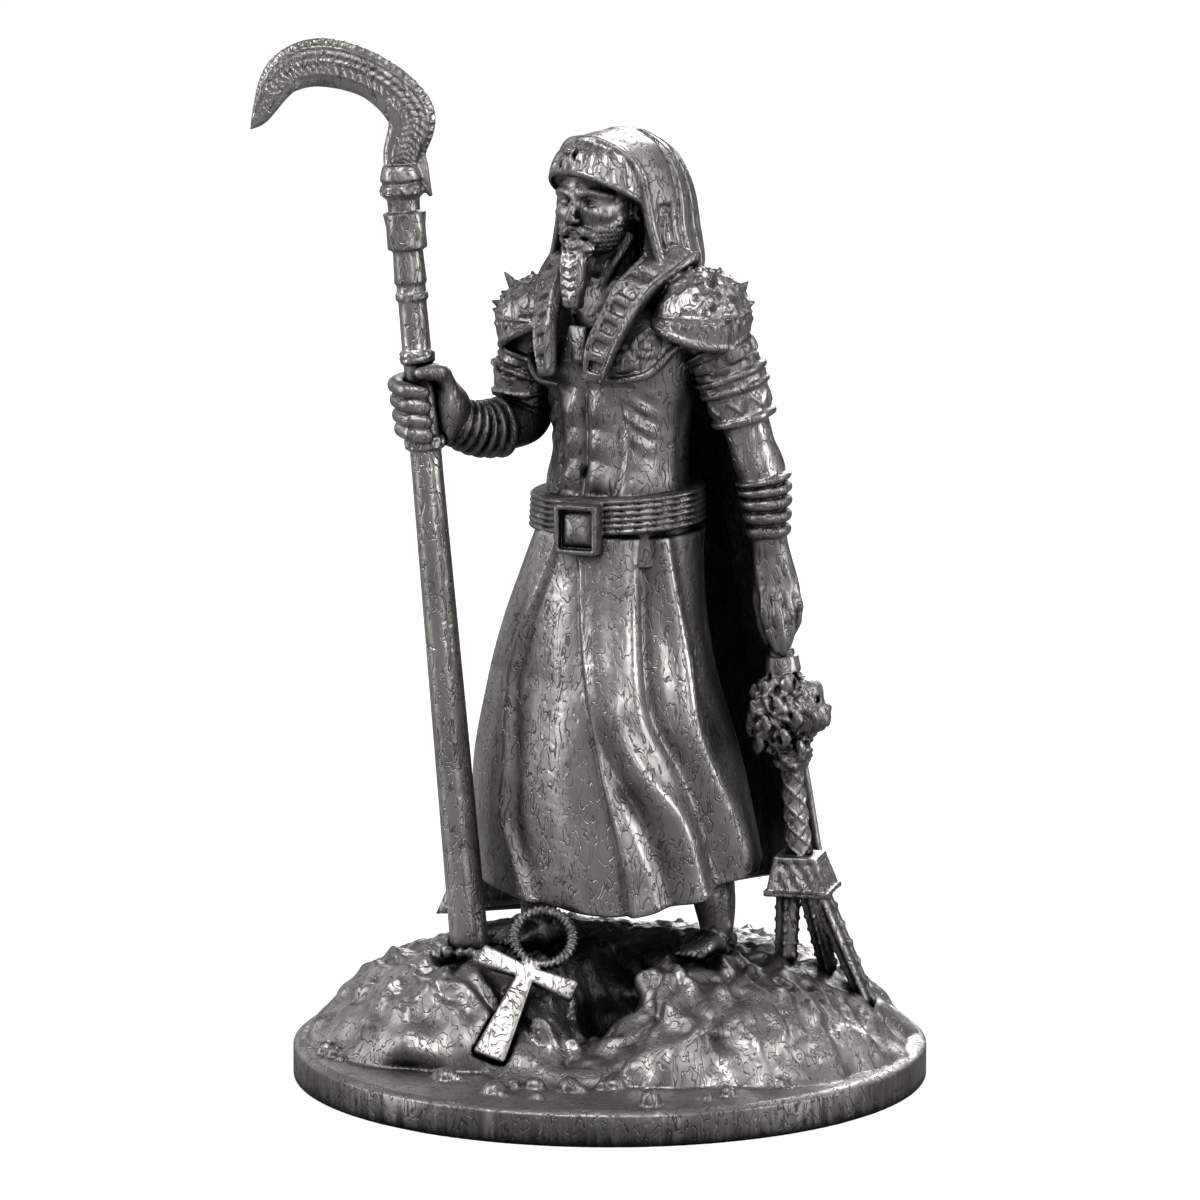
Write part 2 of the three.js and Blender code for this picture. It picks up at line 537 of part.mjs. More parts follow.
function rightFist() {
  const wristWay = Math.atan2(RIGHT_ARM[2][1] - staffAt(58.8).y, RIGHT_ARM[2][0] - staffAt(58.8).x);
  const ringPoint = (height, turn, out) => {
    const c = staffAt(height);
    return [c.x + out * Math.cos(turn), c.y + out * Math.sin(turn), height];
  };
  const fingers = [60.55, 59.25, 57.95, 56.75].map((height, i) => {
    const line = [1.25, 0.75, 0.2, -0.35, -0.8].map((share) => ringPoint(
      height - 0.35 * share, wristWay + Math.PI * (1 - 0.62) + share * 1.5 + 1.1, 2.05 - 0.08 * i,
    ));
    return limb(line, () => [0.66, 0.72], 4, 4, vec(0, 0, 1), 0.8);
  });
  const palm = limb([ringPoint(60.9, wristWay, 1.9), ringPoint(58.8, wristWay, 2.1),
    ringPoint(56.2, wristWay, 1.9)],
    (t) => [2.2 * domed(mix(0.12, 0.88, t)), 1.6], 7, 3, vec(-Math.sin(wristWay), Math.cos(wristWay), 0));
  const heel = egg(ringPoint(58.2, wristWay, 2.9), [1.9, 1.9, 2.1], 6, 2);
  const thumb = limb([ringPoint(58.8, wristWay - 0.5, 2.6), ringPoint(60.6, wristWay - 0.75, 2.35),
    ringPoint(61.7, wristWay - 1.2, 2.05), ringPoint(61.7, wristWay - 2.1, 1.9)], () => [0.8, 0.8], 5, 3,
      vec(0, 0, 1));
  return join(palm, heel, thumb, fingers);
}

// The belt: a tilted band of parallel cords with a square buckle
function belt() {
  const size = [8.3, 6.6];
  const tallness = 3.1;
  const cords = 3;
  const band = shell((angle, t) => {
    const rib = 0.2 - 0.2 * Math.cos(TAU * cords * t);
    const wide = size[0] - 0.35 + rib - 0.15 * t;
    const deep = size[1] - 0.35 + rib - 0.15 * t;
    const tilt = 0.065 * wide * Math.cos(angle) + 0.055 * deep * Math.sin(angle);
    return vec(0.35 + wide * Math.cos(angle), 0.65 + deep * Math.sin(angle), 48.4 + tallness * t + tilt);
  }, 18, cords * 2);
  const place = new THREE.Matrix4().makeRotationZ(0.32).setPosition(2.0, -6.5, 48.9);
  const frame = block([3.9, 1.6, 4.3], place);
  const stone = new THREE.ConeGeometry(1.75, 0.9, 4, 1);
  stone.rotateY(Math.PI / 4);
  stone.rotateX(Math.PI / 2);
  stone.applyMatrix4(new THREE.Matrix4().makeTranslation(0, -1.05, 0));
  stone.applyMatrix4(place);
  const recess = block([2.9, 0.8, 3.2],
    place.clone().multiply(new THREE.Matrix4().makeTranslation(0, -0.7, 0)));
  return join(band, frame.subtract(recess), solidOf(stone));
}

// The long skirt. Its outline reaches further along the stride than across it.
const REACH = track([
  [0, [7.0, 7.5, 6.7, 6.2]], [0.1, [8.1, 7.4, 7.0, 6.4]], [0.27, [9.9, 7.7, 7.9, 7.0]],
  [0.45, [11.3, 8.6, 8.9, 7.6]],
  [0.7, [12.6, 10.7, 9.4, 8.2]], [1, [12.1, 12.5, 9.7, 8.7]],
]);
// Fold lines on the near side, as the place across the outline from -1 to 1, by the share of the drop
const SEAM = track([[0, -0.47], [0.33, -0.29], [0.53, -0.18], [0.67, -0.09], [0.89, 0.05], [1, 0.09]]);
const CREASE = track([[0, -0.72], [0.25, -0.81], [0.41, -0.84], [0.66, -0.77], [0.81, -0.78], [1, -0.62]]);
const FOLDS = [
  { line: track([[0, 0.5], [0.32, 0.67], [0.59, 0.68], [0.84, 0.82], [1, 0.88]]), rise: 0.95, width: 0.1,
    from: -0.1 },
  { line: track([[0, -0.2], [0.39, -0.13], [0.58, 0.12], [0.77, 0.45], [1, 0.55]]), rise: 0.95, width: 0.11,
    from: 0.25 },
  { line: track([[0, 0.3], [0.12, 0.32], [0.46, 0.36], [0.67, 0.6], [1, 0.74]]), rise: -0.95, width: 0.1,
    from: 0.05 },
  { line: track([[0, -0.1], [0.55, -0.07], [0.74, 0.19], [0.89, 0.34], [1, 0.4]]), rise: -0.95, width: 0.1,
    from: 0.4 },
  { line: track([[0, -0.6], [0.4, -0.5], [0.7, -0.42], [1, -0.3]]), rise: 0.25, width: 0.14, from: 0.3 },
];

function foldHeight(across, t) {
  let rise = 0;
  for (const { line, rise: most, width, from } of FOLDS) {
    rise += most * hill((across - line(t)) / width) * step(t, from, 0.08);
  }
  const inside = step(across, CREASE(t), 0.02) * step(-across, -SEAM(t), 0.015);
  return rise - (0.55 + 0.75 * t) * inside * step(t, 0.04, 0.03);
}

function skirtAt(angle, t, inset = 0) {
  const [left, right, near, far] = REACH(t);
  const deep = Math.sin(angle);
  const drop = Math.min(1, 2.5 * t);
  const slack = Math.cos(angle) < 0 && deep < 0 ? 0.38 * drop : 0;
  const middle = Math.cos(angle) < 0 ? 3.5 * drop : 0;
  const across = boxed(Math.cos(angle), 1 + slack);
  const back = 0.32 * Math.cos(11 * angle) * t;
  const rise = deep < 0 ? foldHeight(across, t) * Math.min(1, -2.5 * deep) : back * Math.min(1, 2.5 * deep);
  const u = across * ((across > 0 ? right : left) + rise - inset);
  const reach = deep < 0 ? near + middle : far - middle;
  const w = middle + boxed(deep, 1 + slack) * (reach + rise - inset);
  const hem = mix(SKIRT.right, SKIRT.left, 0.5 + 0.5 * across) - SKIRT.dip * Math.max(0, -deep) ** 2;
  return vec(
    SKIRT.centre[0] + u * Math.cos(STRIDE) - w * Math.sin(STRIDE),
    SKIRT.centre[1] + u * Math.sin(STRIDE) + w * Math.cos(STRIDE),
    mix(WAIST + 0.6, hem, t),
  );
}

function skirt() {
  const outer = shell((angle, t) => skirtAt(angle, t), 30, 8);
  const inner = shell((angle, t) => {
    const share = mix(0.76, 1.02, t);
    const p = skirtAt(angle, Math.min(share, 1), SKIRT.wall + 2.2 * (1 - t) ** 2);
    return p.add(vec(0, 0, share > 1 ? -1.5 : 0));
  }, 14, 2);
  return outer.subtract(inner);
}

const FEET = [
  { ankle: [8.9, 3.7], toe: [9.3, -0.2], top: [7.6, 3.2, 25], sole: 11.3 },
  { ankle: [-5.9, -2.6], toe: [-6.3, -6.8], top: [-4.2, -1.2, 25], sole: 11.2 },
];

function leg({ ankle, toe, top, sole }) {
  const shin = limb([top, [...pairOf(ankle, top, 0.4), 18.5], [...ankle, 14.2], [...ankle, sole + 0.4]],
    track([[0, [2.2, 2.2]], [0.5, [1.85, 1.9]], [0.8, [1.45, 1.5]], [1, [1.6, 1.7]]]), 8, 3);
  return join(shin, foot({ ankle, toe, sole }, 0));
}

function foot({ ankle, toe, sole }, grow) {
  const heel = [ankle[0], ankle[1] + 1.3, sole + 0.8];
  const instep = [...pairOf(ankle, toe, 0.45), sole + 0.95];
  const size = track([[0, [1.0, 0.85]], [0.4, [1.35, 1.1]], [0.8, [1.6, 0.75]], [1, [1.0, 0.5]]]);
  const ends = [heel, instep, [...toe, sole + 0.6]];
  return limb(ends, (t) => size(t).map((value) => value + grow), 8, 3, vec(1, 0, 0), 0.8);
}

// The cape: one curved sheet behind the figure, from the shoulders to just over the ground
const CAPE_LEFT = track([[0, [7.6, 4.6, 66.4]], [0.45, [10.4, 8.2, 44]], [0.78, [11.4, 11.6, 28]],
  [1, [12.3, 13.0, 17.6]]]);
const CAPE_RIGHT = track([[0, [-7.2, 4.4, 66]], [0.4, [-11.2, 4.6, 44]], [0.75, [-15.6, 3.2, 24]],
  [1, [-19.6, 0.2, 11.0]]]);
const CAPE_BACK = track([[0, [0.2, 6.2, 66.6]], [0.4, [-0.4, 9.6, 44]], [0.75, [-2, 12.8, 27]],
  [1, [-3.8, 15.6, 13.2]]]);

function capeAt(side, t, offset) {
  const left = CAPE_LEFT(t);
  const right = CAPE_RIGHT(t);
  const back = CAPE_BACK(t);
  const shares = [(side * side + side) / 2, 1 - side * side, (side * side - side) / 2];
  const p = vec(...left).multiplyScalar(shares[0])
    .addScaledVector(vec(...back), shares[1])
    .addScaledVector(vec(...right), shares[2]);
  const out = p.clone().sub(vec(-0.5, 1.5, p.z)).normalize();
  return p.addScaledVector(out, offset + 0.55 * t * Math.cos(13 * side));
}

function cape() {
  return shell((angle, t) => {
    const half = angle / Math.PI;
    const side = half <= 1 ? 2 * half - 1 : 3 - 2 * half;
    const edge = Math.sqrt(Math.max(1 - side ** 8, 0.02));
    return capeAt(side, t, (half <= 1 ? -0.5 : 0.5) * CAPE.thickness * edge);
  }, 20, 5);
}

// The flail's solids, also used a little larger to make room for it in the hand and the ground
const STRANDS = [
  { top: [-1.0, -0.6], end: [14.3, 6.6, 11.3], size: [1.0, 1.2] },
  { top: [0.9, -0.1], end: [19.8, 10.8, 7.3], size: [0.95, 0.85] },
  { top: [0.3, 0.9], end: [16.3, 9.8, 10.2], size: [0.9, 0.9] },
];

function flailAt(height, across = 0, ahead = 0) {
  const share = (FLAIL.top[2] - height) / (FLAIL.top[2] - FLAIL.end[2]);
  const p = vec(...pairOf(FLAIL.top, FLAIL.end, share));
  p.addScaledVector(vec(Math.cos(STRIDE), Math.sin(STRIDE), 0), across);
  return p.addScaledVector(vec(Math.sin(STRIDE), -Math.cos(STRIDE), 0), ahead).toArray();
}

function flailRod(grow) {
  return turned(flailAt(42.2 + grow), flailAt(36.2), [[0, FLAIL.rod + grow], [1, FLAIL.rod + grow]], 8);
}

function strands(grow) {
  return STRANDS.map(({ top, end, size }) => limb(
    [flailAt(18.6, top[0], top[1]), pairOf(flailAt(18.6, top[0], top[1]), end, 0.5), end],
    (t) => size.map((value) => (value + grow) * (1 - 0.15 * t)), 5, 2, vec(1, 0, 0),
  ));
}

function flail() {
  const collar = turned(flailAt(37.5), flailAt(36.2), [[0, 0.9], [0.35, 1.2], [1, 1.5]], 8);
  const mane = shell((angle, t) => {
    const rise = -Math.cos(Math.PI * mix(0.07, 0.93, t));
    const spread = Math.sqrt(1 - rise * rise);
    const lock = 1 + 0.08 * Math.cos(6 * angle + 9 * t);
    const c = flailAt(33.4, -0.15, 0);
    return vec(c[0] + 3.0 * spread * lock * Math.cos(angle), c[1] + 2.9 * spread * lock * Math.sin(angle),
      c[2] + 3.6 * rise);
  }, 10, 4);
  const muzzle = egg(flailAt(32.3, 1.5, 1.5), [1.3, 1.3, 1.3], 6, 3);
  const nose = egg(flailAt(32.9, 2.1, 2.1), [0.6, 0.6, 0.6], 5, 3);
  const forehead = egg(flailAt(34.9, 1.1, 1.2), [1.5, 1.5, 1.1], 6, 3);
  const ears = [[2.0, -0.9], [-0.9, 2.0]].map(([across, ahead]) => egg(flailAt(35.6, across, ahead),
    [0.75, 0.75, 0.9], 5, 3));
  const jaw = turned(flailAt(30.3, -0.25), flailAt(27.8, -0.25),
    [[0, 1.3], [0.35, 1.75], [0.75, 1.65], [1, 1.25]], 8);
  const rows = 8;
  const grip = shell((angle, t) => {
    const raised = (Math.round(t * rows) + Math.round(angle / TAU * 6)) % 2 ? 0.22 : 0;
    const out = mix(0.86, 1.06, t) + raised;
    const c = flailAt(mix(28.2, 20.2, t));
    return vec(c[0] + out * Math.cos(angle), c[1] + out * Math.sin(angle), c[2]);
  }, 6, rows);
  const cap = new THREE.CylinderGeometry(1.9 * Math.SQRT2, 2.75 * Math.SQRT2, 3.3, 4, 1);
  cap.rotateX(Math.PI / 2);
  cap.rotateZ(-0.32);
  cap.translate(...flailAt(18.6));
  const brim = new THREE.CylinderGeometry(2.85 * Math.SQRT2, 2.85 * Math.SQRT2, 0.5, 4, 1);
  brim.rotateX(Math.PI / 2);
  brim.rotateZ(-0.32);
  brim.translate(...flailAt(17.15));
  return join(flailRod(0), collar, mane, muzzle, nose, forehead, ears, jaw, grip, solidOf(cap),
    solidOf(brim), strands(0));
}

// The ankh leans back on the rocks and is rolled a little to one side
const ANKH_OUTLINE = [[-1.42, 0], [-0.6, 7.3], [-3.95, 6.95], [-3.95, 8.85], [-0.75, 8.5], [0, 9.0],
  [0.75, 8.5], [3.95, 8.85], [3.95, 6.95], [0.6, 7.3], [1.42, 0]];

function ankh(grow) {
  const place = new THREE.Matrix4().makeTranslation(...ANKH.foot)
    .multiply(new THREE.Matrix4().makeRotationZ(STRIDE))
    .multiply(new THREE.Matrix4().makeRotationX(Math.PI / 2 - ANKH.lean))
    .multiply(new THREE.Matrix4().makeRotationZ(-ANKH.roll));
  const depth = ANKH.thick + 2 * grow;
  const bevel = 0.2;
  const cross = new THREE.ExtrudeGeometry(
    new THREE.Shape(ANKH_OUTLINE.map(([x, y]) => new THREE.Vector2(x, y))),
    {
      depth: depth - 2 * bevel, bevelEnabled: true, bevelThickness: bevel, bevelSize: bevel,
      bevelOffset: grow - bevel, bevelSegments: 1,
    },
  );
  cross.translate(0, 0, bevel - depth / 2);
  cross.applyMatrix4(place);
  const loop = hoop((angle, turn) => {
    const out = (0.45 + grow) * Math.cos(angle);
    const p = vec((2.5 + out) * Math.cos(turn), 11.4 + (2.45 + out) * Math.sin(turn),
      (0.5 + grow) * Math.sin(angle));
    return p.applyMatrix4(place);
  }, 6, 18);
  return join(solidOf(cross), loop);
}

// The pieces, each with room for the ones that it holds
const figure = join(
  torso(), head(), headcloth(), shoulderPlate(SHOULDERS.left), shoulderPlate(SHOULDERS.right), bib(),
  leftArm(), rightArm(), leftHand(), rightFist(), belt(), skirt(), FEET.map(leg), cape(),
).subtract(staffRoom()).subtract(flailRod(FIT));
const ground = plinth()
  .subtract(join(FEET.map((place) => foot(place, FIT))))
  .subtract(staffRoom())
  .subtract(join(strands(FIT)))
  .subtract(ankh(FIT));

function mesh(name, solid, color, roughness) {
  const { numProp, vertProperties, triVerts } = solid.getMesh();
  const geometry = new THREE.BufferGeometry();
  geometry.setAttribute('position', new THREE.Float32BufferAttribute(vertProperties, numProp));
  geometry.setIndex(new THREE.Uint32BufferAttribute(triVerts, 1));
  geometry.computeVertexNormals();
  const made = new THREE.Mesh(geometry, new THREE.MeshStandardMaterial({ color, roughness, metalness: 1 }));
  made.name = name;
  return made;
}

const group = new THREE.Group();
group.add(
  mesh('base', ground, 0x7d7a74, 0.45),
  mesh('figure', figure, 0x8a8883, 0.35),
  mesh('staff', staff(), 0x9a978f, 0.3),
  mesh('flail', flail(), 0x85827c, 0.4),
  mesh('ankh', ankh(0), 0x8f8c85, 0.4),
);

export default group;
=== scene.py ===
"""A cast white-metal statuette of Osiris on a round plinth of rock, dressed for rendering.

Sizes are in millimetres until a mesh is made, and Blender gets metres. The figure faces -Y, its left side is +X,
and the plinth's underside is at Z = 0. Each piece is modelled as clay: a list of shapes that know how far a point is
from their skin, blended or cut in order, and turned into a mesh at the end.
"""
import math

import bpy
import numpy as np
import openvdb
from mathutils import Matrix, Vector


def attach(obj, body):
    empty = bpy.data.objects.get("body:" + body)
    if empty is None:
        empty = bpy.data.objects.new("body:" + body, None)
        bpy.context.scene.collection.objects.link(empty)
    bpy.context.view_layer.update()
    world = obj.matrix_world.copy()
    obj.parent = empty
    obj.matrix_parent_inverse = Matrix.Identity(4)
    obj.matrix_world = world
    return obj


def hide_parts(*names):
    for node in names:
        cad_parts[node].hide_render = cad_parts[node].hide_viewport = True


MM = 0.001
FAR = 1000.0
REACH = 0.7
BLOCK = 16
TURN = 2 * math.pi


# Small helpers on numbers and points
def mix(a, b, t):
    return a + (b - a) * t


def hill(x):
    return np.exp(-np.square(x))


def step(x, edge, soft):
    return 1 / (1 + np.exp(-np.clip((x - edge) / soft, -40, 40)))


def mixed(first, second, share):
    return [mix(a, b, share) for a, b in zip(first, second)]


def turned_about_z(angle):
    c, s = math.cos(angle), math.sin(angle)
    return np.array([[c, -s, 0], [s, c, 0], [0, 0, 1]])


def turned_about_y(angle):
    c, s = math.cos(angle), math.sin(angle)
    return np.array([[c, 0, s], [0, 1, 0], [-s, 0, c]])


def turned_about_x(angle):
    c, s = math.cos(angle), math.sin(angle)
    return np.array([[1, 0, 0], [0, c, -s], [0, s, c]])


def track(stops):
    """A smooth function through [place, value] stops. A value is a number or a list of numbers."""
    at = np.array([stop[0] for stop in stops], float)
    values = np.array([np.atleast_1d(stop[1]) for stop in stops], float)
    index = np.arange(len(at))
    before = np.maximum(index - 1, 0)
    after = np.minimum(index + 1, len(at) - 1)
    slope = (values[after] - values[before]) / (at[after] - at[before])[:, None]

    def value(place):
        place = np.asarray(place, float)
        k = np.clip(np.searchsorted(at, place, side="right") - 1, 0, len(at) - 2)
        span = (at[k + 1] - at[k])[..., None]
        t = np.clip((place - at[k]) / (at[k + 1] - at[k]), 0, 1)[..., None]
        rise = values[k + 1] - values[k]
        bend = (1 - t) * (slope[k] * span - rise) - t * (slope[k + 1] * span - rise)
        found = values[k] + rise * t + t * (1 - t) * bend
        return found[..., 0] if values.shape[1] == 1 else found

    return value


def noise(points, seed):
    """Smooth noise from about -1 to 1, with one lump to each unit of length."""
    cell = np.floor(points).astype(np.int64)
    part = points - cell
    ease = part * part * (3 - 2 * part)
    total = 0
    for corner in range(8):
        offset = np.array([corner & 1, corner >> 1 & 1, corner >> 2 & 1])
        key = (cell + offset) @ np.array([73856093, 19349663, 83492791]) + seed * 2654435761
        key = (key ^ (key >> 13)) * 1274126177
        key = (key ^ (key >> 16)) & 0xFFFF
        weight = np.prod(np.where(offset, ease, 1 - ease), axis=1)
        total = total + weight * (key / 32767.5 - 1)
    return total


def ridged(points, seed, octaves):
    """Noise folded into sharp ridges, from 0 to about 1."""
    total, size, most = 0, 1.0, 0.0
    for octave in range(octaves):
        total = total + size * (1 - np.abs(noise(points * 2 ** octave, seed + octave)) * 2)
        most += size
        size *= 0.5
    return 0.5 + 0.5 * total / most


# Shapes. Each has its low and high corner and gives the distance from its skin, negative inside.
def oval_distance(k, half):
    """The distance to an oval from coordinates k (one column an axis) and its half lengths."""
    first = np.sqrt((np.square(k / half)).sum(1))
    second = np.sqrt((np.square(k / (half * half))).sum(1)) + 1e-9
    return first * (first - 1) / second


class Egg:
    def __init__(self, centre, half, turn=None, skin=None):
        self.centre = np.array(centre, float)
        self.half = np.array(half, float)
        self.turn = np.eye(3) if turn is None else turn
        self.skin = skin
        reach = np.abs(self.turn) @ self.half
        self.low, self.high = self.centre - reach, self.centre + reach

    def distance(self, points):
        k = (points - self.centre) @ self.turn
        away = oval_distance(k, self.half)
        return away if self.skin is None else away - self.skin(k / self.half)


class Block:
    """A box with rounded edges."""

    def __init__(self, centre, half, turn=None, soft=0.1):
        self.centre = np.array(centre, float)
        self.half = np.array(half, float)
        self.turn = np.eye(3) if turn is None else turn
        self.soft = soft
        reach = np.abs(self.turn) @ self.half
        self.low, self.high = self.centre - reach, self.centre + reach

    def distance(self, points):
        k = np.abs((points - self.centre) @ self.turn) - self.half + self.soft
        outside = np.sqrt(np.square(np.maximum(k, 0)).sum(1))
        return outside + np.minimum(k.max(1), 0) - self.soft


class Side:
    """Everything on one side of a plane, the side that its normal leaves."""

    def __init__(self, place, normal):
        self.place = np.array(place, float)
        self.normal = np.array(normal, float) / np.linalg.norm(normal)
        self.low, self.high = np.full(3, -FAR), np.full(3, FAR)

    def distance(self, points):
        return (points - self.place) @ self.normal


class Ring:
    """An oval hoop: half lengths of its middle line, and half the width and height of its section."""

    def __init__(self, centre, half, section, turn=None, skin=None):
        self.centre = np.array(centre, float)
        self.half = half
        self.section = section
        self.turn = np.eye(3) if turn is None else turn
        self.skin = skin
        reach = np.abs(self.turn) @ np.array([half[0] + section[0], half[1] + section[0], section[1]])
        self.low, self.high = self.centre - reach, self.centre + reach

    def distance(self, points):
        k = (points - self.centre) @ self.turn
        share = np.sqrt(np.square(k[:, 0] / self.half[0]) + np.square(k[:, 1] / self.half[1])) + 1e-9
        out = np.hypot(k[:, 0], k[:, 1]) * (1 - 1 / share)
        away = oval_distance(np.stack([out, k[:, 2]], 1), np.array(self.section))
        if self.skin is None:
            return away
        return away - self.skin(np.arctan2(k[:, 1], k[:, 0]), k[:, 2])


class Turned:
    """A turned body on the line between two points, from [share of the length, radius] steps."""

    def __init__(self, start, end, profile, skin=None):
        self.start = np.array(start, float)
        line = np.array(end, float) - self.start
        self.length = np.linalg.norm(line)
        self.axis = line / self.length
        self.at = np.array([place for place, _ in profile]) * self.length
        self.radius = np.array([radius for _, radius in profile])
        self.skin = skin
        across = np.cross(self.axis, [0, 1, 0] if abs(self.axis[1]) < 0.9 else [1, 0, 0])
        self.across = across / np.linalg.norm(across)
        self.deep = np.cross(self.axis, self.across)
        most = self.radius.max()
        ends = np.stack([self.start + self.axis * self.at[0], self.start + self.axis * self.at[-1]])
        self.low, self.high = ends.min(0) - most, ends.max(0) + most

    def distance(self, points):
        k = points - self.start
        along = k @ self.axis
        u, v = k @ self.across, k @ self.deep
        out = np.hypot(u, v)
        size = np.interp(along, self.at, self.radius)
        if self.skin is not None:
            size = size + self.skin(along / self.length, np.arctan2(v, u), size)
        ends = np.maximum(self.at[0] - along, along - self.at[-1])
        return np.maximum(0.85 * (out - size), ends)


class Limb:
    """A limb swept along a smooth curve. size(t) gives half its width, along side, and half its depth."""

    def __init__(self, points, size, side=(1, 0, 0), power=2.0, steps=8, skin=None):
        points = np.array(points, float)
        share = np.linspace(0, 1, steps * (len(points) - 1) + 1)
        self.middle = track(list(zip(np.linspace(0, 1, len(points)), points)))(share)
        ahead = np.gradient(self.middle, axis=0)
        self.ahead = ahead / np.linalg.norm(ahead, axis=1)[:, None]
        side = np.array(side, float)
        across = side - self.ahead * (self.ahead @ side)[:, None]
        lost = np.linalg.norm(across, axis=1) < 0.1
        across[lost] = np.cross(self.ahead[lost], [0.3, 0.5, 0.8])
        self.across = across / np.linalg.norm(across, axis=1)[:, None]
        self.deep = np.cross(self.ahead, self.across)
        self.place = np.linspace(0, 1, 801)
        sizes = np.array([np.broadcast_to(size(t), 2) for t in self.place], float)
        self.wide, self.thick = sizes[:, 0], sizes[:, 1]
        self.power = power
        self.skin = skin
        self.most = sizes.max() + (0.5 if skin else 0)
        self.low, self.high = self.middle.min(0) - self.most, self.middle.max(0) + self.most

    def distance(self, points):
        low, high = points.min(0), points.max(0)
        centre, reach = (low + high) / 2, np.linalg.norm(high - low) / 2
        a, b = self.middle[:-1], self.middle[1:]
        near = np.linalg.norm((a + b) / 2 - centre, axis=1) - np.linalg.norm(b - a, axis=1) / 2
        kept = np.flatnonzero(near < reach + self.most + REACH)
        if len(kept) == 0:
            return np.full(len(points), FAR)
        a, line = a[kept], (b - a)[kept]
        best = np.full(len(points), np.inf)
        share = np.zeros(len(points))
        which = np.zeros(len(points), int)
        for row, (start, run) in enumerate(zip(a, line)):
            k = points - start
            h = np.clip(k @ run / (run @ run), 0, 1)
            away = np.square(k - h[:, None] * run).sum(1)
            closer = away < best
            best[closer] = away[closer]
            share[closer] = h[closer]
            which[closer] = kept[row]
        h = share[:, None]

        def between(rows):
            return rows[which] + h * (rows[which + 1] - rows[which])

        k = points - between(self.middle)
        t = (which + share) / (len(self.middle) - 1)
        u = (k * between(self.across)).sum(1)
        v = (k * between(self.deep)).sum(1)
        w = (k * between(self.ahead)).sum(1)
        wide = np.interp(t, self.place, self.wide)
        thick = np.interp(t, self.place, self.thick)
        least = np.minimum(wide, thick)
        if self.power == 2:
            away = oval_distance(np.stack([u, v, w], 1), np.stack([wide, thick, least], 1))
        else:
            p = self.power
            size = np.abs(u / wide) ** p + np.abs(v / thick) ** p + np.abs(w / least) ** p
            away = (size ** (1 / p) - 1) * least
        if self.skin is not None:
            away = away - self.skin(t, u / wide, v / thick)
        return away


class Clay:
    """Shapes added and cut in order. A blend is the width, in mm, over which two skins melt together."""

    def __init__(self):
        self.steps = []
        self.low, self.high = np.full(3, FAR), np.full(3, -FAR)

    def add(self, *shapes, blend=0.0):
        for shape in shapes:
            self.steps.append(("add", shape, blend, shape.low, shape.high))
            self.low = np.minimum(self.low, shape.low)
            self.high = np.maximum(self.high, shape.high)
        return self

    def cut(self, *shapes, blend=0.0):
        for shape in shapes:
            self.steps.append(("cut", shape, blend, shape.low, shape.high))
        return self

    def keep(self, *shapes):
        for shape in shapes:
            self.steps.append(("keep", shape, 0.0, np.full(3, -FAR), np.full(3, FAR)))
        return self

    def press(self, relief, low, high):
        """relief(points) lifts the skin that is there, inside a box."""
        self.steps.append(("press", relief, 0.0, np.array(low, float), np.array(high, float)))
        return self

    def distance(self, points):
        low, high = points.min(0), points.max(0)
        found = np.full(len(points), FAR)
        for kind, shape, blend, least, most in self.steps:
            room = REACH + blend
            if (least - room > high).any() or (most + room < low).any():
                continue
            if kind == "press":
                inside = ((points > least) & (points < most)).all(1)
                if inside.any():
                    found[inside] -= shape(points[inside])
                continue
            other = shape.distance(points)
            if kind == "add":
                if blend:
                    share = np.clip(0.5 + 0.5 * (other - found) / blend, 0, 1)
                    found = mix(other, found, share) - blend * share * (1 - share)
                else:
                    found = np.minimum(found, other)
            elif kind == "cut":
                if blend:
                    share = np.clip(0.5 - 0.5 * (found + other) / blend, 0, 1)
                    found = mix(found, -other, share) + blend * share * (1 - share)
                else:
                    found = np.maximum(found, -other)
            else:
                found = np.maximum(found, other)
        return found


def cast(clay, cell):
    """The skin of a clay as points, in mm, and faces of four corners."""
    low = clay.low - 3 * cell
    count = np.ceil((clay.high + 3 * cell - low) / (cell * BLOCK)).astype(int)
    band = 3 * cell
    corner = np.stack(np.meshgrid(*[np.arange(n) for n in count], indexing="ij"), -1).reshape(-1, 3)
    middle = low + (corner + 0.5) * BLOCK * cell
    rough = clay.distance(middle)
    half = BLOCK * cell * math.sqrt(3) / 2
    grid = np.where(rough < 0, -band, band).astype(np.float32)
    grid = grid.reshape(count)[:, None, :, None, :, None]
    grid = np.broadcast_to(grid, (count[0], BLOCK, count[1], BLOCK, count[2], BLOCK)).copy()
    local = np.stack(np.meshgrid(*[np.arange(BLOCK)] * 3, indexing="ij"), -1).reshape(-1, 3) * cell
    for place in corner[np.abs(rough) < 1.3 * half + 0.6]:
        points = low + place * BLOCK * cell + local
        away = np.clip(clay.distance(points), -band, band)
        grid[place[0], :, place[1], :, place[2], :] = away.reshape(BLOCK, BLOCK, BLOCK)
    volume = openvdb.FloatGrid(band)
    volume.copyFromArray(np.ascontiguousarray(grid.reshape(count * BLOCK)))
    points, triangles, quads = volume.convertToPolygons(isovalue=0.0, adaptivity=0.0)
    return low + points * cell, quads[:, ::-1].astype(np.int32)


